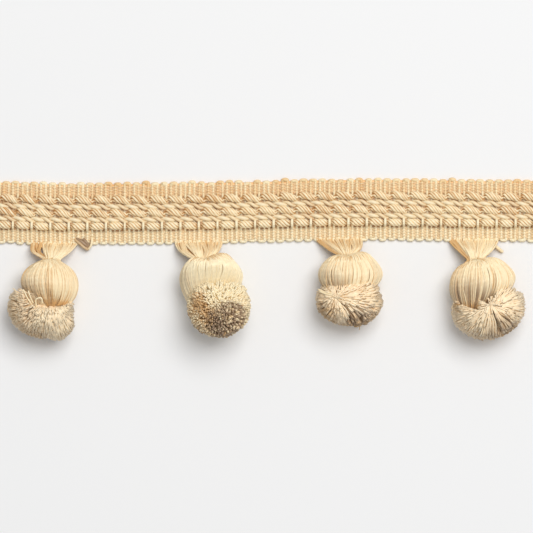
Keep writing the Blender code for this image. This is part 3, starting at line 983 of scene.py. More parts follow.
def ball_surface(row, share, angle, lift):
    """The ball: spine at share, plus radii * sin(pi * share) ^ fullness, plus lift, at an angle round it.

    The angle runs from the right over the top. The spine points away from the heading at the top, and
    turns to the brush's axis at the waist. Beside the neck the crown swells up or slopes down, by its
    shoulder * s * exp(1 - s) * |cos angle| ^ 0.6, where s is the share over the shoulders' peak.
    """
    share, angle, lift = np.broadcast_arrays(share, angle, lift)
    foot = np.array(BALLS[row["name"]]["foot"]) * MM
    spine = on_curve(place_of(row, "ball_top"), place_of(row, "ball_centre"), foot, share[..., None])
    axis = unit((1 - share[..., None]) * np.array((0.0, -1.0, 0.0)) + share[..., None] * brush_axis(row))
    level, upright = square_to(axis)
    full = np.sin(np.pi * share) ** np.where(share < 0.5, CROWN_FULLNESS, FOOT_FULLNESS)
    wide, tall = (radius * full + lift for radius in place_of(row, "ball_radii"))
    left, right = np.array(BALLS[row["name"]]["shoulders"]) * MM
    hump = share / SHOULDER_PEAK * np.exp(1 - share / SHOULDER_PEAK) * np.abs(np.cos(angle)) ** 0.6
    swell = np.where(np.cos(angle) > 0, right, left) * hump
    spine = spine + swell[..., None] * np.array((0.0, 1.0, 0.0))
    return spine - level * (wide * np.cos(angle))[..., None] + upright * (tall * np.sin(angle))[..., None]


# %% [markdown]
# ## The balls
#
# A ball's surface is its yarns, drawn over it from neck to waist. A sphere with a bump map would keep a
# smooth outline, so every yarn is a tube on the ball's own surface formula. The yarns lie in bundles that
# stand a little higher, they stray sideways, and creases push them apart. A closed form inside keeps the
# light from shining through between them; its deeper tone is painted shade.

# %% Threads over a ball
BALL_SAMPLES = 22
THREAD_RADIUS = 0.26 * MM
BALL_LAYERS = (
    # how many yarns, how far they stray round the ball, how much higher they lie, radius
    (175, 0.008, 0.0, THREAD_RADIUS),
    (20, 0.035, 0.20 * MM, 0.9 * THREAD_RADIUS),
)
THREAD_STRAY = 0.06 * MM
THREAD_TONES = (0.5, 1.25)
BUNDLES = 31
BUNDLE_LIFT = 0.12 * MM
BUNDLE_GATHER = 0.08
BUNDLE_SINK = 1.4 * BUNDLE_LIFT
CREASE_REACH = 1.6
CREASE_PUSH = 0.35
# Painted shade in the creases.
CREASE_SHADE = 0.9
# Painted shade on each thread's side that faces into the ball.
THREAD_GROOVE_SHADE = 1.4
FIRST_SHARE = 0.022
LAST_SHARE = 0.985
# Where the painted shade towards the foot begins.
FOOT_SHADE_SHARE = 0.80
NECK_HALF_HEIGHT = 1.1 * MM
FLOOR_GAP = 0.05 * MM


def crease_push(row, share, angle):
    """How far creases push yarns round the ball and how deep they sink, at each share and angle.

    Both fall away as a bell from the crease's own angle, over reach * half width, and from its place
    along the ball. The push is push * half width.
    """
    push = np.zeros(np.broadcast(share, angle).shape)
    sink = np.zeros_like(push)
    for degrees, half_width, place, length, depth in BALLS[row["name"]]["creases"]:
        away = np.angle(np.exp(1j * (angle - math.radians(degrees))))
        half = math.radians(half_width)
        near = bell(away, half * CREASE_REACH) * bell(share - place, length)
        push += np.sign(away) * half * CREASE_PUSH * near
        sink += depth * MM * near
    return push, sink


def ball_threads(row, rng, count, stray, lift, radius):
    """Yarns from neck to waist, drawn towards bundles that stand higher.

    A bundle's height is |sin p|, p = bundles * angle plus a slow sway, and each angle moves by
    gather * sin(2 p) / bundles towards its crest.
    """
    style = BALLS[row["name"]]
    step = (0.5 - 0.5 * np.cos(np.pi * np.linspace(0, 1, BALL_SAMPLES - 1)))[None, :]
    share = FIRST_SHARE + (LAST_SHARE - FIRST_SHARE) * step
    start = 2 * np.pi * (np.arange(count) + rng.uniform(-0.2, 0.2, count)) / count
    angle = start[:, None] + wander(rng, count, BALL_SAMPLES - 1, 5, stray)
    phase = BUNDLES * angle + 2.5 * np.sin(angle * 2) + 0.8 * np.sin(angle * 5)
    angle = angle + BUNDLE_GATHER * np.sin(2 * phase) / BUNDLES
    push, sink = crease_push(row, share, angle)
    bundle = BUNDLE_LIFT * np.abs(np.sin(phase))
    rise = lift + bundle - sink + wander(rng, count, BALL_SAMPLES - 1, 6, THREAD_STRAY)
    on_ball = ball_surface(row, share, angle + push, rise - BUNDLE_SINK)
    half = style["neck_width"] * MM / 2
    root = place_of(row, "neck") + stack(half * 0.9 * np.cos(start), 0, NECK_HALF_HEIGHT * np.sin(start))
    paths = np.concatenate((root[:, None], on_ball), axis=1)
    outward = unit(paths - place_of(row, "ball_centre"))
    tone = style["tone"] + rng.uniform(*THREAD_TONES, (count, 1))
    tone = tone + wander(rng, count, BALL_SAMPLES, 4, 0.1)
    # Painted shade in the creases, between the bundles and towards the foot.
    tone[:, 1:] -= CREASE_SHADE * (sink / MM) + 0.15 * (1 - np.abs(np.sin(phase)))
    tone[:, 1:] -= style["foot_shade"] * ease((share - FOOT_SHADE_SHARE) / (1 - FOOT_SHADE_SHARE))
    # The side that faces grey_way, away from the light, turns greyer: partly grey yarn, partly painted
    # shade.
    grey = ease(outward @ unit(np.array(style["grey_way"])) * 1.4 - 0.3)
    dust_and_shade = style["grey"] * grey * rng.uniform(0.0, 1.0, (count, 1))
    radii = radius * (1 + wander(rng, count, BALL_SAMPLES, 5, 0.08))
    return tube_yarns(settle(paths, radius + FLOOR_GAP), radii, 5, outward, THREAD_GROOVE_SHADE, tone, dust_and_shade)


# %% The form inside a ball
INNER_SHARE = 0.92
INNER_RINGS = 24
INNER_CORNERS = 48
# Painted shade: the inner form is deeper than the yarns over it.
INNER_SHADE_TONE = 0.3
INNER_MILLIMETRES = 20


def ball_inside(row):
    """Rings of the ball's surface, drawn in towards its middle, with about its length in the UV map."""
    share = np.linspace(2 * FIRST_SHARE, LAST_SHARE, INNER_RINGS)[:, None]
    angle = 2 * np.pi * np.arange(INNER_CORNERS)[None, :] / INNER_CORNERS
    middle = place_of(row, "ball_centre")
    rings = middle + (ball_surface(row, share, angle, 0.0) - middle) * INNER_SHARE
    rings = settle(rings, FLOOR_GAP)
    along = np.linspace(0, INNER_MILLIMETRES, INNER_RINGS)[None, :]
    return skin_rings(rings[None], along, {"tone": INNER_SHADE_TONE})


# %% [markdown]
# ## The brushes
#
# Below the waist the yarns are cut and spread. Hair particles would do, but they can't be exported, and
# what makes this brush is how its yarns leave the binding in locks: each lock arches out from the waist and
# ends at an egg-shaped outline. So each yarn is a quadratic curve from a small disc at the waist to a tip.
# The locks are spread evenly by the golden angle, and each has its own length, height and tone.

# %% Curves from the waist to the tips
BRUSH_SAMPLES = 9
TUCK_DEPTH = 0.9 * MM
TUCK_MARGIN = 0.4 * MM
# Yarns left ungreyed, and where the greying towards the tips begins and how fast: partly soiled yarn, partly
# painted shade.
UNGREYED_SHARE = 0.12
GREYED_FROM = 0.4
GREYED_OVER = 0.5
# Painted shade on each yarn's side that faces in towards the brush's middle.
BRUSH_GROOVE_SHADE = 0.5
BRUSH_STRAY = 0.08 * MM
CRIMP_WAVES = 1.5
ROOT_THICKNESS = 0.75
SHUT_ROOT_SHARE = 0.15
SHUT_TIP_SHARE = 0.55
LOWEST_LAYER = 0.82
CUT_STAYS_SHUT = 0.8
GOLDEN_ANGLE = math.pi * (3 - math.sqrt(5))
BRUSHES = {
    # root and disc: where the yarns start, and how far round it. open: how far they arch over the upper
    # side, 0 to 1. flat: how far the arches' tips keep down. locks, yarns and radius: how many there are,
    # and how thick a yarn is. spread: half the angle of a lock. length and lift: how unequal the yarns and
    # locks are. crimp: how far a yarn waves. rise: how high open locks arch. sides: shares of the reach on
    # the left and on the right. tuck: the stretch along the heading where yarns lie below the ball.
    # root_painted_light: how much paler the roots are, painted light where the yarns meet in shade. tone:
    # how
    # pale it is. blunt: how much thicker the yarns end. widest: how far round from the brush's axis the
    # yarns spread, in degrees.
    # bulges: sides that stand out, as the way they face, where they begin and are full (as cosines) and by
    # what share. patches: sides where the cut tips are greyer and browner, partly soiled yarn and partly
    # painted shade on sides turned from the light, and paler, painted light, where brown is negative; each
    # as the way they face, where a patch begins and is full (as cosines), how grey and how brown it is.
    "pompom_1": {
        "root": (-68.3, -28.4, 10.0), "disc": 3.0 * MM, "open": 0.75, "flat": 0.35, "locks": 300,
        "yarns": 2000, "radius": 0.29 * MM, "spread": 0.08, "length": 0.012, "lift": 0.14 * MM,
        "crimp": 0.20 * MM, "rise": 0.92, "sides": (1.0, 0.84), "tuck": (-76.0, -60.0), "root_painted_light": 0.1,
        "tone": 0.90, "blunt": 0.40, "widest": 108,
        "bulges": (((0.72, -0.70, 0.0), 0.84, 0.98, 0.20),),
        "patches": (
            ((-0.85, -0.10, 0.5), 0.70, 0.95, 0.20, 0.40),
            ((-0.3, -0.9, 0.1), 0.75, 0.95, 0.40, 0.50),
            ((0.5, -0.3, 0.8), 0.60, 0.95, 0.0, -0.30),
        ),
    },
    "pompom_2": {
        "root": (-16.4, -26.0, 10.0), "disc": 2.5 * MM, "open": 0.0, "flat": 0.0, "locks": 400,
        "yarns": 2700, "radius": 0.26 * MM, "spread": 0.05, "length": 0.018, "lift": 0.15 * MM,
        "crimp": 0.10 * MM, "rise": 0.98, "sides": (0.98, 0.96), "tuck": (0.0, 0.0), "root_painted_light": 0.0,
        "tone": 0.66, "blunt": 0.60, "widest": 114,
        "bulges": (((0.72, 0.60, 0.3), 0.94, 0.99, 0.07), ((-0.55, 0.50, 0.67), 0.85, 0.97, 0.12)),
        "patches": (
            ((0.20, 0.60, 0.75), 0.60, 0.90, 0.0, -0.70),
            ((-0.72, 0.16, 0.68), 0.90, 0.99, 0.2, 1.20),
            ((-0.34, -0.30, 0.85), 0.90, 0.99, 0.3, 1.10),
            ((0.34, -0.48, 0.80), 0.68, 0.88, 1.7, 0.40),
            ((-0.10, -0.95, 0.20), 0.70, 0.95, 0.7, 0.40),
            ((-0.80, -0.55, 0.10), 0.75, 0.95, 0.4, 0.40),
        ),
    },
    "pompom_3": {
        "root": (22.0, -27.2, 15.0), "disc": 1.5 * MM, "open": 1.0, "flat": 0.50, "locks": 130,
        "yarns": 1550, "radius": 0.30 * MM, "spread": 0.085, "length": 0.014, "lift": 0.26 * MM,
        "crimp": 0.22 * MM, "rise": 0.94, "sides": (1.0, 0.96), "tuck": (0.0, 0.0), "root_painted_light": 0.4,
        "tone": 0.55, "blunt": 0.60, "widest": 124,
        "bulges": (((0.45, -0.9, 0.0), 0.92, 0.99, 0.06), ((0.30, 0.80, 0.50), 0.50, 0.95, 0.20)),
        "patches": (
            ((0.45, -0.80, 0.38), 0.68, 0.95, 1.0, 0.40),
            ((-0.80, -0.45, 0.2), 0.80, 0.96, 0.5, 0.30),
            ((-0.20, -0.97, 0.1), 0.75, 0.97, 0.4, 0.20),
        ),
    },
    "pompom_4": {
        "root": (70.2, -29.4, 15.8), "disc": 1.6 * MM, "open": 1.0, "flat": 0.66, "locks": 140,
        "yarns": 1700, "radius": 0.30 * MM, "spread": 0.085, "length": 0.014, "lift": 0.24 * MM,
        "crimp": 0.25 * MM, "rise": 0.94, "sides": (1.0, 0.97), "tuck": (50.0, 67.0), "root_painted_light": 0.4,
        "tone": 0.70, "blunt": 0.60, "widest": 108,
        "bulges": (((0.92, 0.38, 0.0), 0.94, 0.99, 0.04),),
        "patches": (
            ((0.55, -0.75, 0.36), 0.78, 0.98, 1.0, 0.40),
            ((-0.90, 0.30, 0.40), 0.88, 0.98, 0.3, 0.60),
            ((-0.20, -0.97, 0.1), 0.80, 0.97, 0.4, 0.20),
        ),
    },
}


def brush_frame(row):
    """The brush's own directions as rows: level, upright and along its axis."""
    axis = brush_axis(row)
    return np.stack((*square_to(axis), axis))


def spread_directions(rng, count, widest):
    """Directions in the brush's own frame, and how near the rim each is.

    Equal steps of the cosine of the angle from the axis, each a golden angle further round, spread the
    directions evenly.
    """
    step = (np.arange(count) + 0.5) / count
    polar = np.arccos(1 - (1 - math.cos(math.radians(widest))) * step)
    turn = GOLDEN_ANGLE * np.arange(count) + rng.normal(0, 0.05, count)
    return stack(np.cos(turn) * np.sin(polar), np.sin(turn) * np.sin(polar), np.cos(polar)), np.sqrt(step)


def to_outline(ways, reach):
    """Points where directions from the middle meet the ellipsoid: direction / |direction / reach|."""
    return ways / np.linalg.norm(ways / reach, axis=-1, keepdims=True)


def over_the_top(points, reach):
    """The same points lifted straight up to the ellipsoid: height = reach * sqrt(1 - the other shares^2)."""
    lifted = points.copy()
    room = 1 - (points[:, 0] / reach[0]) ** 2 - (points[:, 2] / reach[2]) ** 2
    lifted[:, 1] = reach[1] * np.sqrt(np.maximum(room, 0.02))
    return lifted


# The patches are partly soiled yarn, partly painted shade, and painted light where brown is negative.
def soil_and_shade(ways, style):
    """How grey and how brown yarns are: every patch eases in where they face it."""
    grey = np.zeros(len(ways))
    brown = np.zeros(len(ways))
    for way, begins, full, patch_grey, patch_brown in style["patches"]:
        near = ease((ways @ unit(np.array(way)) - begins) / (full - begins))
        grey += patch_grey * near
        brown += patch_brown * near
    return grey, brown


def brush_curves(row, style, rng):
    """Root, half-way point and tip of every yarn, its way and lock, and how far out in the lock it lies.

    A shut lock's yarns run straight out: their half-way point is root and tip, each by its share. An open
    one's tips keep low, and half way out its yarns lie just under the outline, as high as their own layer,
    so they arch from the dimple and show their length. Locks that show cut tips stay nearly shut.
    """
    frame = brush_frame(row)
    reach = place_of(row, "brush_reach")
    locks = style["locks"]
    lock_ways, lock_rim = spread_directions(rng, locks, style["widest"])
    lock = np.arange(style["yarns"]) % locks
    from_lock = rng.normal(0, style["spread"], (style["yarns"], 3))
    ways = unit(lock_ways[lock] + from_lock)
    rim = np.clip(lock_rim[lock] + rng.normal(0, 0.05, len(lock)), 0, 1)
    outer = np.linalg.norm(from_lock, axis=1) / style["spread"] / 2
    squash = style["flat"] * (ways[:, 1] > 0) * rng.uniform(0.7, 1.2, locks)[lock]
    ways[:, 1] *= 1 - squash
    uneven = rng.normal(0, style["length"] * 0.7, locks)[lock] + rng.normal(0, style["length"], len(lock))
    tips = to_outline(ways, reach) * (1 - 0.02 * outer + uneven)[:, None]
    tips[:, 0] *= np.where(tips[:, 0] > 0, *style["sides"])
    for way, begins, full, share in style["bulges"]:
        tips *= 1 + share * ease((ways @ frame @ unit(np.array(way)) - begins) / (full - begins))[:, None]
    root = frame @ (np.array(style["root"]) * MM - place_of(row, "brush_centre"))
    roots = root + unit(ways * (1, 1, 0)) * (style["disc"] * rim)[:, None]
    shut = roots * SHUT_ROOT_SHARE + tips * SHUT_TIP_SHARE
    arched = over_the_top((roots + tips) / 2, reach * (1, style["rise"], 1))
    layer = ease(0.75 + 0.5 * ways[:, 1])[:, None] * rng.uniform(LOWEST_LAYER, 1.0, (len(ways), 1))
    arched = shut + (arched - shut) * layer
    cut = np.minimum(sum(soil_and_shade(lock_ways @ frame, style)), 1)
    opened = style["open"] * (1 - CUT_STAYS_SHUT * cut)
    middles = shut + (arched - shut) * opened[lock][:, None]
    lift = rng.normal(0, style["lift"], locks)[lock] - style["lift"] * np.minimum(outer, 1.5)
    middles += unit(middles) * lift[:, None]
    return roots, middles, tips, ways @ frame, lock, outer


def tuck_under(row, paths, depth):
    """Lowers points over the ball, in the tucked stretch, to a depth below an ellipsoid round the ball.

    The ellipsoid is larger than the ball by the tuck margin along and across, and as tall as the ball.
    """
    top = place_of(row, "ball_top")
    foot = np.array(BALLS[row["name"]]["foot"]) * MM
    wide, tall = place_of(row, "ball_radii")
    half = (top[1] - foot[1]) / 2
    x, y = paths[..., 0], paths[..., 1]
    centre = place_of(row, "ball_centre")
    across = (x - centre[0]) / (wide + TUCK_MARGIN)
    along = (y - top[1] + half) / (half + TUCK_MARGIN)
    room = 1 - across**2 - along**2
    ceiling = centre[2] + tall * np.sqrt(np.maximum(room, 0)) - depth
    left, right = BRUSHES[row["name"]]["tuck"]
    tucked = (room > 0) & (x > left * MM) & (x < right * MM)
    paths[..., 2] = np.where(tucked, np.minimum(paths[..., 2], ceiling), paths[..., 2])
    return paths


def brush_yarns(row, rng):
    """Quadratic curves through root, half-way point and tip, with a crimp that each lock's yarns share.

    A yarn's tone comes from its brush, its lock and itself. It gets painted shade at the edges of its
    lock and painted light towards its root, and it turns greyer towards its tip, partly soiled and partly
    painted shade.
    """
    style = BRUSHES[row["name"]]
    roots, middles, tips, ways, lock, outer = brush_curves(row, style, rng)
    count = len(roots)
    t = np.linspace(0, 1, BRUSH_SAMPLES)[None, :, None]
    paths = on_curve(roots[:, None], middles[:, None], tips[:, None], t)
    paths = paths @ brush_frame(row) + place_of(row, "brush_centre")
    aside = unit(np.cross(ways, UP + 0.3 * rng.normal(0, 1, (style["locks"], 3))[lock]))
    phase = rng.uniform(0, 1, style["locks"])[lock][:, None] + rng.normal(0, 0.04, (count, 1))
    turn = 2 * np.pi * (CRIMP_WAVES * t[..., 0] + phase)
    wave = style["crimp"] * np.sin(turn) * np.sin(np.pi * t[..., 0])
    paths += aside[:, None] * wave[..., None]
    paths += wander_all_ways(rng, count, BRUSH_SAMPLES, 4, BRUSH_STRAY) * t
    grey, brown = soil_and_shade(unit(ways + rng.normal(0, 0.05, ways.shape)), style)
    grey = grey * rng.uniform(0.2, 1.1, count) * (rng.uniform(0, 1, count) > UNGREYED_SHARE)
    dust_and_shade = grey[:, None] * ease((t[..., 0] - GREYED_FROM) / GREYED_OVER)
    tone = style["tone"] + rng.uniform(0, 0.5, style["locks"])[lock] + rng.uniform(0, 0.5, count)
    # Painted shade at the edges of each lock; brown is partly soiled yarn, partly painted shade.
    tone = tone - 0.2 * np.minimum(outer, 1.5) - brown * rng.uniform(0.2, 1.6, count)
    # Painted light towards the roots, against the shade where the yarns meet.
    tone = tone[:, None] + style["root_painted_light"] * (1 - t[..., 0])
    radii = style["radius"] * (ROOT_THICKNESS + style["blunt"] * t[..., 0])
    paths = settle(tuck_under(row, paths, TUCK_DEPTH), radii.max() + FLOOR_GAP)
    outward = unit(paths - place_of(row, "brush_centre"))
    return tube_yarns(paths, radii, 3, outward, BRUSH_GROOVE_SHADE, tone, dust_and_shade)


# %% The form inside a brush
INSIDE_SHARE = 0.82
INSIDE_DROP = 6.0 * MM
INSIDE_TUCK = 2.5 * TUCK_DEPTH
INSIDE_RINGS = 16
INSIDE_CORNERS = 24
INSIDE_POLE = 0.03
INSIDE_TONE = 0.5
INSIDE_MILLIMETRES = 10


def brush_inside(row):
    """A smaller form of the brush's own outline, so that no light passes between the yarns.

    The lower a brush's crown, the deeper this form is sunk.
    """
    polar = np.linspace(INSIDE_POLE, np.pi - INSIDE_POLE, INSIDE_RINGS)[:, None]
    turn = -2 * np.pi * np.arange(INSIDE_CORNERS)[None, :] / INSIDE_CORNERS
    ways = stack(np.cos(turn) * np.sin(polar), np.sin(turn) * np.sin(polar), np.cos(polar))
    rings = to_outline(ways, place_of(row, "brush_reach")) * INSIDE_SHARE
    sunk = (1 - row["brush_crown_share"]) * INSIDE_DROP
    rings = rings @ brush_frame(row) + place_of(row, "brush_centre") - UP * sunk
    rings = settle(tuck_under(row, rings, INSIDE_TUCK), FLOOR_GAP)
    along = np.linspace(0, INSIDE_MILLIMETRES, INSIDE_RINGS)[None, :]
    return skin_rings(rings[None], along, {"tone": INSIDE_TONE})


# %% [markdown]
# ## The fans
#
# The yarns that hold a pompom leave the heading's lower edge in a few bundles, run together at the neck and
# go on under the ball's crown. They come up between the braid's ribs, so their ends are out of sight. A
# bundle is rounded across and its yarns draw together half way, which leaves deep creases between bundles.

# %% Yarns from the edge to the crown
FAN_SAMPLES = 18
FAN_RADIUS = 0.30 * MM
FAN_OVERLAP = 2.0 * MM
FAN_START = 0.50 * MM
FAN_ON_BRAID = 1.30 * MM
FAN_GATHER = 0.94
FAN_LAYER_DEPTH = 0.45 * MM
# Painted shade: how much darker the lower layer is.
FAN_LAYER_SHADE = 0.4
FAN_STRAY = 0.13 * MM
FAN_UNEVEN = 0.35
FAN_ENDS = (
    # share along the ball, height over its surface
    (0.075, 0.10 * MM),
    (0.16, 0.05 * MM),
    (0.26, -0.70 * MM),
)
# Painted shade on each yarn's underside.
FAN_GROOVE_SHADE = 1.9
FANS = {
    # each bundle: its part of the edge, its part of the neck, push aside, lift and crown half way, how many
    # yarns, how pale. The parts are shares from left to right, and the lengths are in millimetres. Low
    # tones, as in the first bundle of each fan, which lies under the rest, and in the first fan's folded
    # bundle, are painted shade.
    "pompom_1": (
        ((0.20, 0.98), (0.15, 0.95), 0.3, -0.5, 0.0, 16, 0.2),
        ((0.03, 0.24), (0.06, 0.22), -1.4, -1.2, 0.0, 7, -0.9),
        ((0.00, 0.05), (0.00, 0.12), -1.9, 0.3, 0.3, 3, 0.5),
        ((0.09, 0.11), (0.08, 0.18), -0.9, -0.5, 0.2, 1, 0.6),
        ((0.25, 0.60), (0.12, 0.62), -0.3, 0.5, 0.9, 12, 1.0),
        ((0.57, 1.00), (0.50, 1.00), 0.5, 0.5, 0.9, 13, 1.0),
    ),
    "pompom_2": (
        ((0.04, 0.97), (0.05, 0.95), 0.0, -0.4, 0.0, 16, 0.2),
        ((0.00, 0.22), (0.00, 0.24), -1.5, -0.2, 0.9, 8, 0.9),
        ((0.20, 0.56), (0.20, 0.52), 0.0, 0.9, 1.1, 11, 1.2),
        ((0.56, 0.80), (0.54, 0.80), 0.8, 0.5, 0.9, 8, 1.0),
        ((0.80, 1.00), (0.80, 1.00), 0.6, 0.2, 0.7, 6, 1.1),
    ),
    "pompom_3": (
        ((0.03, 0.97), (0.05, 0.95), 0.0, -0.4, 0.0, 16, 0.2),
        ((0.00, 0.12), (0.00, 0.18), -0.4, -0.4, 0.3, 5, -0.5),
        ((0.10, 0.38), (0.06, 0.40), 0.3, 0.3, 0.9, 9, 0.8),
        ((0.38, 0.74), (0.34, 0.76), 0.0, 0.8, 1.0, 12, 1.0),
        ((0.74, 1.00), (0.62, 1.00), 1.1, 0.4, 0.8, 9, 0.9),
    ),
    "pompom_4": (
        ((0.03, 0.97), (0.05, 0.95), 0.0, -0.4, 0.0, 16, 0.2),
        ((0.00, 0.14), (0.00, 0.18), -0.3, -0.2, 0.4, 5, 0.2),
        ((0.13, 0.48), (0.12, 0.58), 0.2, 0.7, 1.0, 12, 1.2),
        ((0.53, 0.78), (0.48, 0.76), -0.1, 0.3, 0.9, 9, 1.1),
        ((0.76, 1.00), (0.70, 1.00), 0.6, 0.5, 0.9, 8, 1.2),
    ),
}


def fan_bundle(row, rng, edge_part, neck_part, push, lift, crown, yarns, layer):
    """Curves from the braid through the neck to the crown, for one layer of one bundle."""
    across = np.linspace(-1, 1, yarns)[:, None] * (1 - 0.5 * layer / yarns)
    share = (across + 1) / 2
    left, right = place_of(row, "fan_at_edge")
    edge_x = left + (right - left) * (edge_part[0] + (edge_part[1] - edge_part[0]) * share)
    edge_y = sway(edge_x) - HALF_WIDTH
    sunk = FAN_LAYER_DEPTH * layer
    rounded = crown * MM * np.sqrt(1 - 0.95 * across**2)
    start = stack(edge_x, edge_y + FAN_OVERLAP * rng.uniform(0.3, 1.1, share.shape), FAN_START)
    edge = stack(edge_x, edge_y + 0.1 * MM, FAN_ON_BRAID + rounded * 0.4 - sunk)
    neck_x, neck_y, neck_z = place_of(row, "neck")
    neck_share = neck_part[0] + (neck_part[1] - neck_part[0]) * share
    width = BALLS[row["name"]]["neck_width"] * MM
    top = neck_z + NECK_HALF_HEIGHT * (0.9 - 2.4 * (neck_share - 0.5) ** 2) - sunk
    neck = stack(neck_x + width * (neck_share - 0.5), neck_y, top)
    middle = (edge + neck) / 2
    drawn = middle[:, :, 0].mean() + push * MM + (middle[:, :, 0] - middle[:, :, 0].mean()) * FAN_GATHER
    middle = stack(drawn, middle[:, :, 1], middle[:, :, 2] + lift * MM + rounded)
    turn = np.pi * (0.90 - 0.80 * neck_share)
    deep = sunk - min(lift, 0.0) * MM
    crown_ends = [ball_surface(row, place, turn, height - deep) for place, height in FAN_ENDS]
    return spline_through(np.concatenate((start, edge, middle, neck, *crown_ends), axis=1), FAN_SAMPLES)


def spline_through(knots, samples):
    """Smooth curves through each row's knots: cubic pieces whose slopes come from the knots beside them."""
    slopes = np.gradient(knots, axis=1)
    place = np.linspace(0, knots.shape[1] - 1, samples)
    first = np.minimum(place.astype(int), knots.shape[1] - 2)
    t = (place - first)[None, :, None]
    here, there = knots[:, first], knots[:, first + 1]
    leave, arrive = slopes[:, first], slopes[:, first + 1]
    rise = t * t * (3 - 2 * t)
    return here * (1 - rise) + there * rise + leave * t * (1 - t) ** 2 - arrive * t * t * (1 - t)


def make_fan(row, rng):
    """Two layers of every bundle, each yarn straying a little."""
    layers = []
    for *shape, yarns, tone in FANS[row["name"]]:
        for layer in (0, 1):
            paths = fan_bundle(row, rng, *shape, yarns, layer)
            paths += wander_all_ways(rng, yarns, FAN_SAMPLES, 6, FAN_STRAY)
            paths = settle(paths, FAN_RADIUS + FLOOR_GAP)
            # Painted shade: the second layer is darker.
            own = tone + rng.uniform(-FAN_UNEVEN, FAN_UNEVEN, yarns) - FAN_LAYER_SHADE * layer
            layers.append(tube_yarns(paths, FAN_RADIUS, 5, groove=FAN_GROOVE_SHADE, tone=own))
    return layers


# %% Make the four pompoms
# One brush is as cream as the balls, so it has their finish. The others have the more golden cut yarn's.
CREAM_BRUSH = "pompom_2"
pompom_pieces = []
for number, row in enumerate(POMPOMS, start=1):
    rng = np.random.default_rng(20 + number)
    layers = [ball_threads(row, rng, *layer) for layer in BALL_LAYERS]
    ball = add_piece(f"ball_{number}", layers + [ball_inside(row)], pompom_finish)
    finish = pompom_finish if row["name"] == CREAM_BRUSH else brush_finish
    brush = add_piece(f"brush_{number}", [brush_yarns(row, rng), brush_inside(row)], finish)
    fan = add_piece(f"fan_{number}", make_fan(row, rng), pompom_finish)
    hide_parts(row["name"])
    pompom_pieces += [ball, brush, fan]

# %% [markdown]
# ## Stray ends
#
# A few yarns don't follow the rest: the cut stub of the weft beside the first pompom, another beside the
# last one, a curl, and some ends that stand up from the brushes or lie over them. They are few, so each has
# its own points.

# %% Yarns placed one by one
STRAY_SAMPLES = 12
# Painted shade on each end's underside.
STRAY_GROOVE_SHADE = 0.8
STRAY_ENDS = (
    # radius in millimetres, tone, dust, points in millimetres
    (0.45, 0.3, 0.45, ((-61.0, -8.6, 1.0), (-59.2, -10.0, 1.9), (-57.6, -11.4, 2.1), (-56.4, -12.1, 1.6))),
    (0.36, 1.0, 0.0, ((-55.2, -8.2, 1.2), (-55.2, -9.6, 2.2), (-55.6, -11.0, 2.0), (-56.4, -12.0, 1.4))),
    (0.55, -0.8, 1.0, ((-60.0, -8.6, 1.0), (-58.6, -9.5, 1.7), (-57.2, -10.6, 1.7), (-56.4, -11.6, 1.2))),
    (0.55, -0.8, 1.0, ((-58.0, -8.6, 1.0), (-57.4, -9.3, 1.6), (-56.6, -10.2, 1.6), (-56.2, -11.2, 1.2))),
    (0.52, 0.7, 0.0, ((71.0, -9.6, 1.8), (72.4, -10.9, 1.7), (73.6, -11.9, 1.4), (74.7, -12.8, 0.9))),
    (0.22, 1.0, 0.0, (
        (-73.6, -29.6, 14.2), (-74.8, -27.8, 14.9), (-75.8, -25.9, 15.0), (-76.4, -24.6, 14.8),
    )),
    (0.22, 1.0, 0.0, (
        (-73.2, -29.0, 14.4), (-74.0, -27.4, 15.2), (-74.5, -26.0, 15.5), (-74.8, -25.0, 15.4),
    )),
    (0.20, 0.8, 0.0, (
        (-74.4, -30.0, 13.8), (-75.6, -28.8, 14.2), (-76.8, -27.6, 14.2), (-77.6, -27.0, 13.8),
    )),
    (0.13, 0.6, 0.0, (
        (-77.0, -28.2, 11.8), (-78.4, -26.0, 12.0), (-79.3, -24.6, 11.6), (-79.9, -24.4, 11.2),
    )),
    (0.24, 1.0, 0.0, (
        (-72.2, -30.4, 14.6), (-72.4, -27.8, 15.8), (-70.7, -27.3, 16.2), (-70.4, -29.0, 15.6),
    )),
    (0.15, 0.3, 0.4, ((28.4, -34.4, 6.0), (28.9, -35.8, 5.4), (29.4, -36.6, 5.0), (29.3, -37.4, 4.6))),
    (0.26, 1.0, 0.0, ((16.6, -25.2, 13.4), (18.6, -26.0, 14.8), (20.6, -26.4, 15.6), (22.0, -26.9, 15.6))),
    (0.26, 0.9, 0.0, ((16.2, -24.6, 12.6), (18.2, -25.4, 14.4), (20.6, -25.9, 15.6), (22.4, -26.4, 15.8))),
)


def make_stray_ends():
    """Each end is a smooth curve through its points, closed at both ends."""
    ends = []
    for radius, tone, dust_and_shade, points in STRAY_ENDS:
        path = spline_through(np.array(points)[None] * MM, STRAY_SAMPLES)
        ends.append(tube_yarns(path, radius * MM, 7, groove=STRAY_GROOVE_SHADE, tone=tone, dust_and_shade=dust_and_shade))
    return add_piece("stray_ends", ends, pompom_finish)


stray_ends = make_stray_ends()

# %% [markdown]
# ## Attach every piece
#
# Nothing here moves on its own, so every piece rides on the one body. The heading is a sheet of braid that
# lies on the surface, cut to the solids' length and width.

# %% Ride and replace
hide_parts("heading")
for piece, row in zip(cord_pieces, CORDS):
    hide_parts(row[1])
for piece, row in zip(strand_pieces, STRANDS):
    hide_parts(row[1])
heading_pieces = [woven_ground, weft_ribs, warp_threads, dark_line_thread]
laid_pieces = cord_pieces + strand_pieces
for pieces, slot in (
    (heading_pieces, "heading_yarn"),
    (laid_pieces, "cord_yarn"),
    (pompom_pieces + [stray_ends], "pompom_yarn"),
):
    for piece in pieces:
        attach(piece, "root")

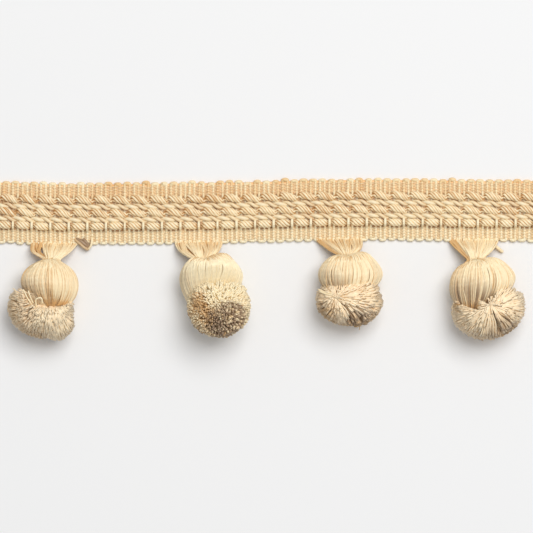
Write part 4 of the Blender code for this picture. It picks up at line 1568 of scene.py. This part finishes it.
# %% [markdown]
# ## Floor, light and camera
#
# The trim lies on a plain pale surface in soft studio light. A large lamp stands beyond the plain edge, so
# that shadows fall softly towards the pompoms, and a pale world fills them. The camera looks straight
# down through a long lens, which keeps the scale even across the trim.

# %% A pale floor
FLOOR_SIDE = 4.0
FLOOR_COLOUR = (0.86, 0.86, 0.86, 1)


def make_floor():
    """One large square at the surface, beneath the trim."""
    corners = FLOOR_SIDE / 2 * np.array(((-1, -1, 0), (1, -1, 0), (1, 1, 0), (-1, 1, 0)))
    mesh = bpy.data.meshes.new("floor")
    mesh.from_pydata(corners.tolist(), [], [(0, 1, 2, 3)])
    material = bpy.data.materials.new("pale floor")
    material.use_nodes = True
    shader = material.node_tree.nodes["Principled BSDF"]
    shader.inputs["Base Color"].default_value = FLOOR_COLOUR
    shader.inputs["Roughness"].default_value = 0.9
    shader.inputs["Specular IOR Level"].default_value = 0.1
    mesh.materials.append(material)
    floor = bpy.data.objects.new("floor", mesh)
    bpy.context.scene.collection.objects.link(floor)


make_floor()

# %% Light and camera
VIEW_WIDTH = 168.7 * MM
VIEW_CENTRE = (0.0, -17.4 * MM)
CAMERA_HEIGHT = 2.0
SENSOR_WIDTH = 36.0
LAMP_PLACE = (0.44, 0.62, 1.67)
LAMP_SIDE = 1.15
LAMP_WATTS = 26.2
WORLD_STRENGTH = 0.415


def add_area_lamp(name, place, side, watts):
    """A square lamp that shines at the origin: tipped by acos(z), then turned by atan2(x, -y)."""
    lamp = bpy.data.lights.new(name, "AREA")
    lamp.shape = "SQUARE"
    lamp.size = side
    lamp.energy = watts
    holder = bpy.data.objects.new(name, lamp)
    bpy.context.scene.collection.objects.link(holder)
    holder.location = place
    away = unit(np.array(place))
    turn = math.atan2(away[0], -away[1])
    holder.rotation_euler = (math.acos(away[2]), 0, turn)


def add_world(strength):
    """White light from all round."""
    world = bpy.data.worlds.new("studio")
    world.use_nodes = True
    background = world.node_tree.nodes["Background"]
    background.inputs["Color"].default_value = (1, 1, 1, 1)
    background.inputs["Strength"].default_value = strength
    bpy.context.scene.world = world


def add_camera():
    """A camera that looks straight down. Its lens is sensor width * height / width of the view."""
    camera = bpy.data.cameras.new("camera")
    camera.sensor_width = SENSOR_WIDTH
    camera.lens = SENSOR_WIDTH * CAMERA_HEIGHT / VIEW_WIDTH
    camera.clip_start = 0.1
    camera.clip_end = 10
    holder = bpy.data.objects.new("camera", camera)
    holder.location = (*VIEW_CENTRE, CAMERA_HEIGHT)
    bpy.context.scene.collection.objects.link(holder)
    bpy.context.scene.camera = holder


add_area_lamp("key lamp", LAMP_PLACE, LAMP_SIDE, LAMP_WATTS)
add_world(WORLD_STRENGTH)
add_camera()
bpy.context.scene.view_settings.view_transform = "Standard"
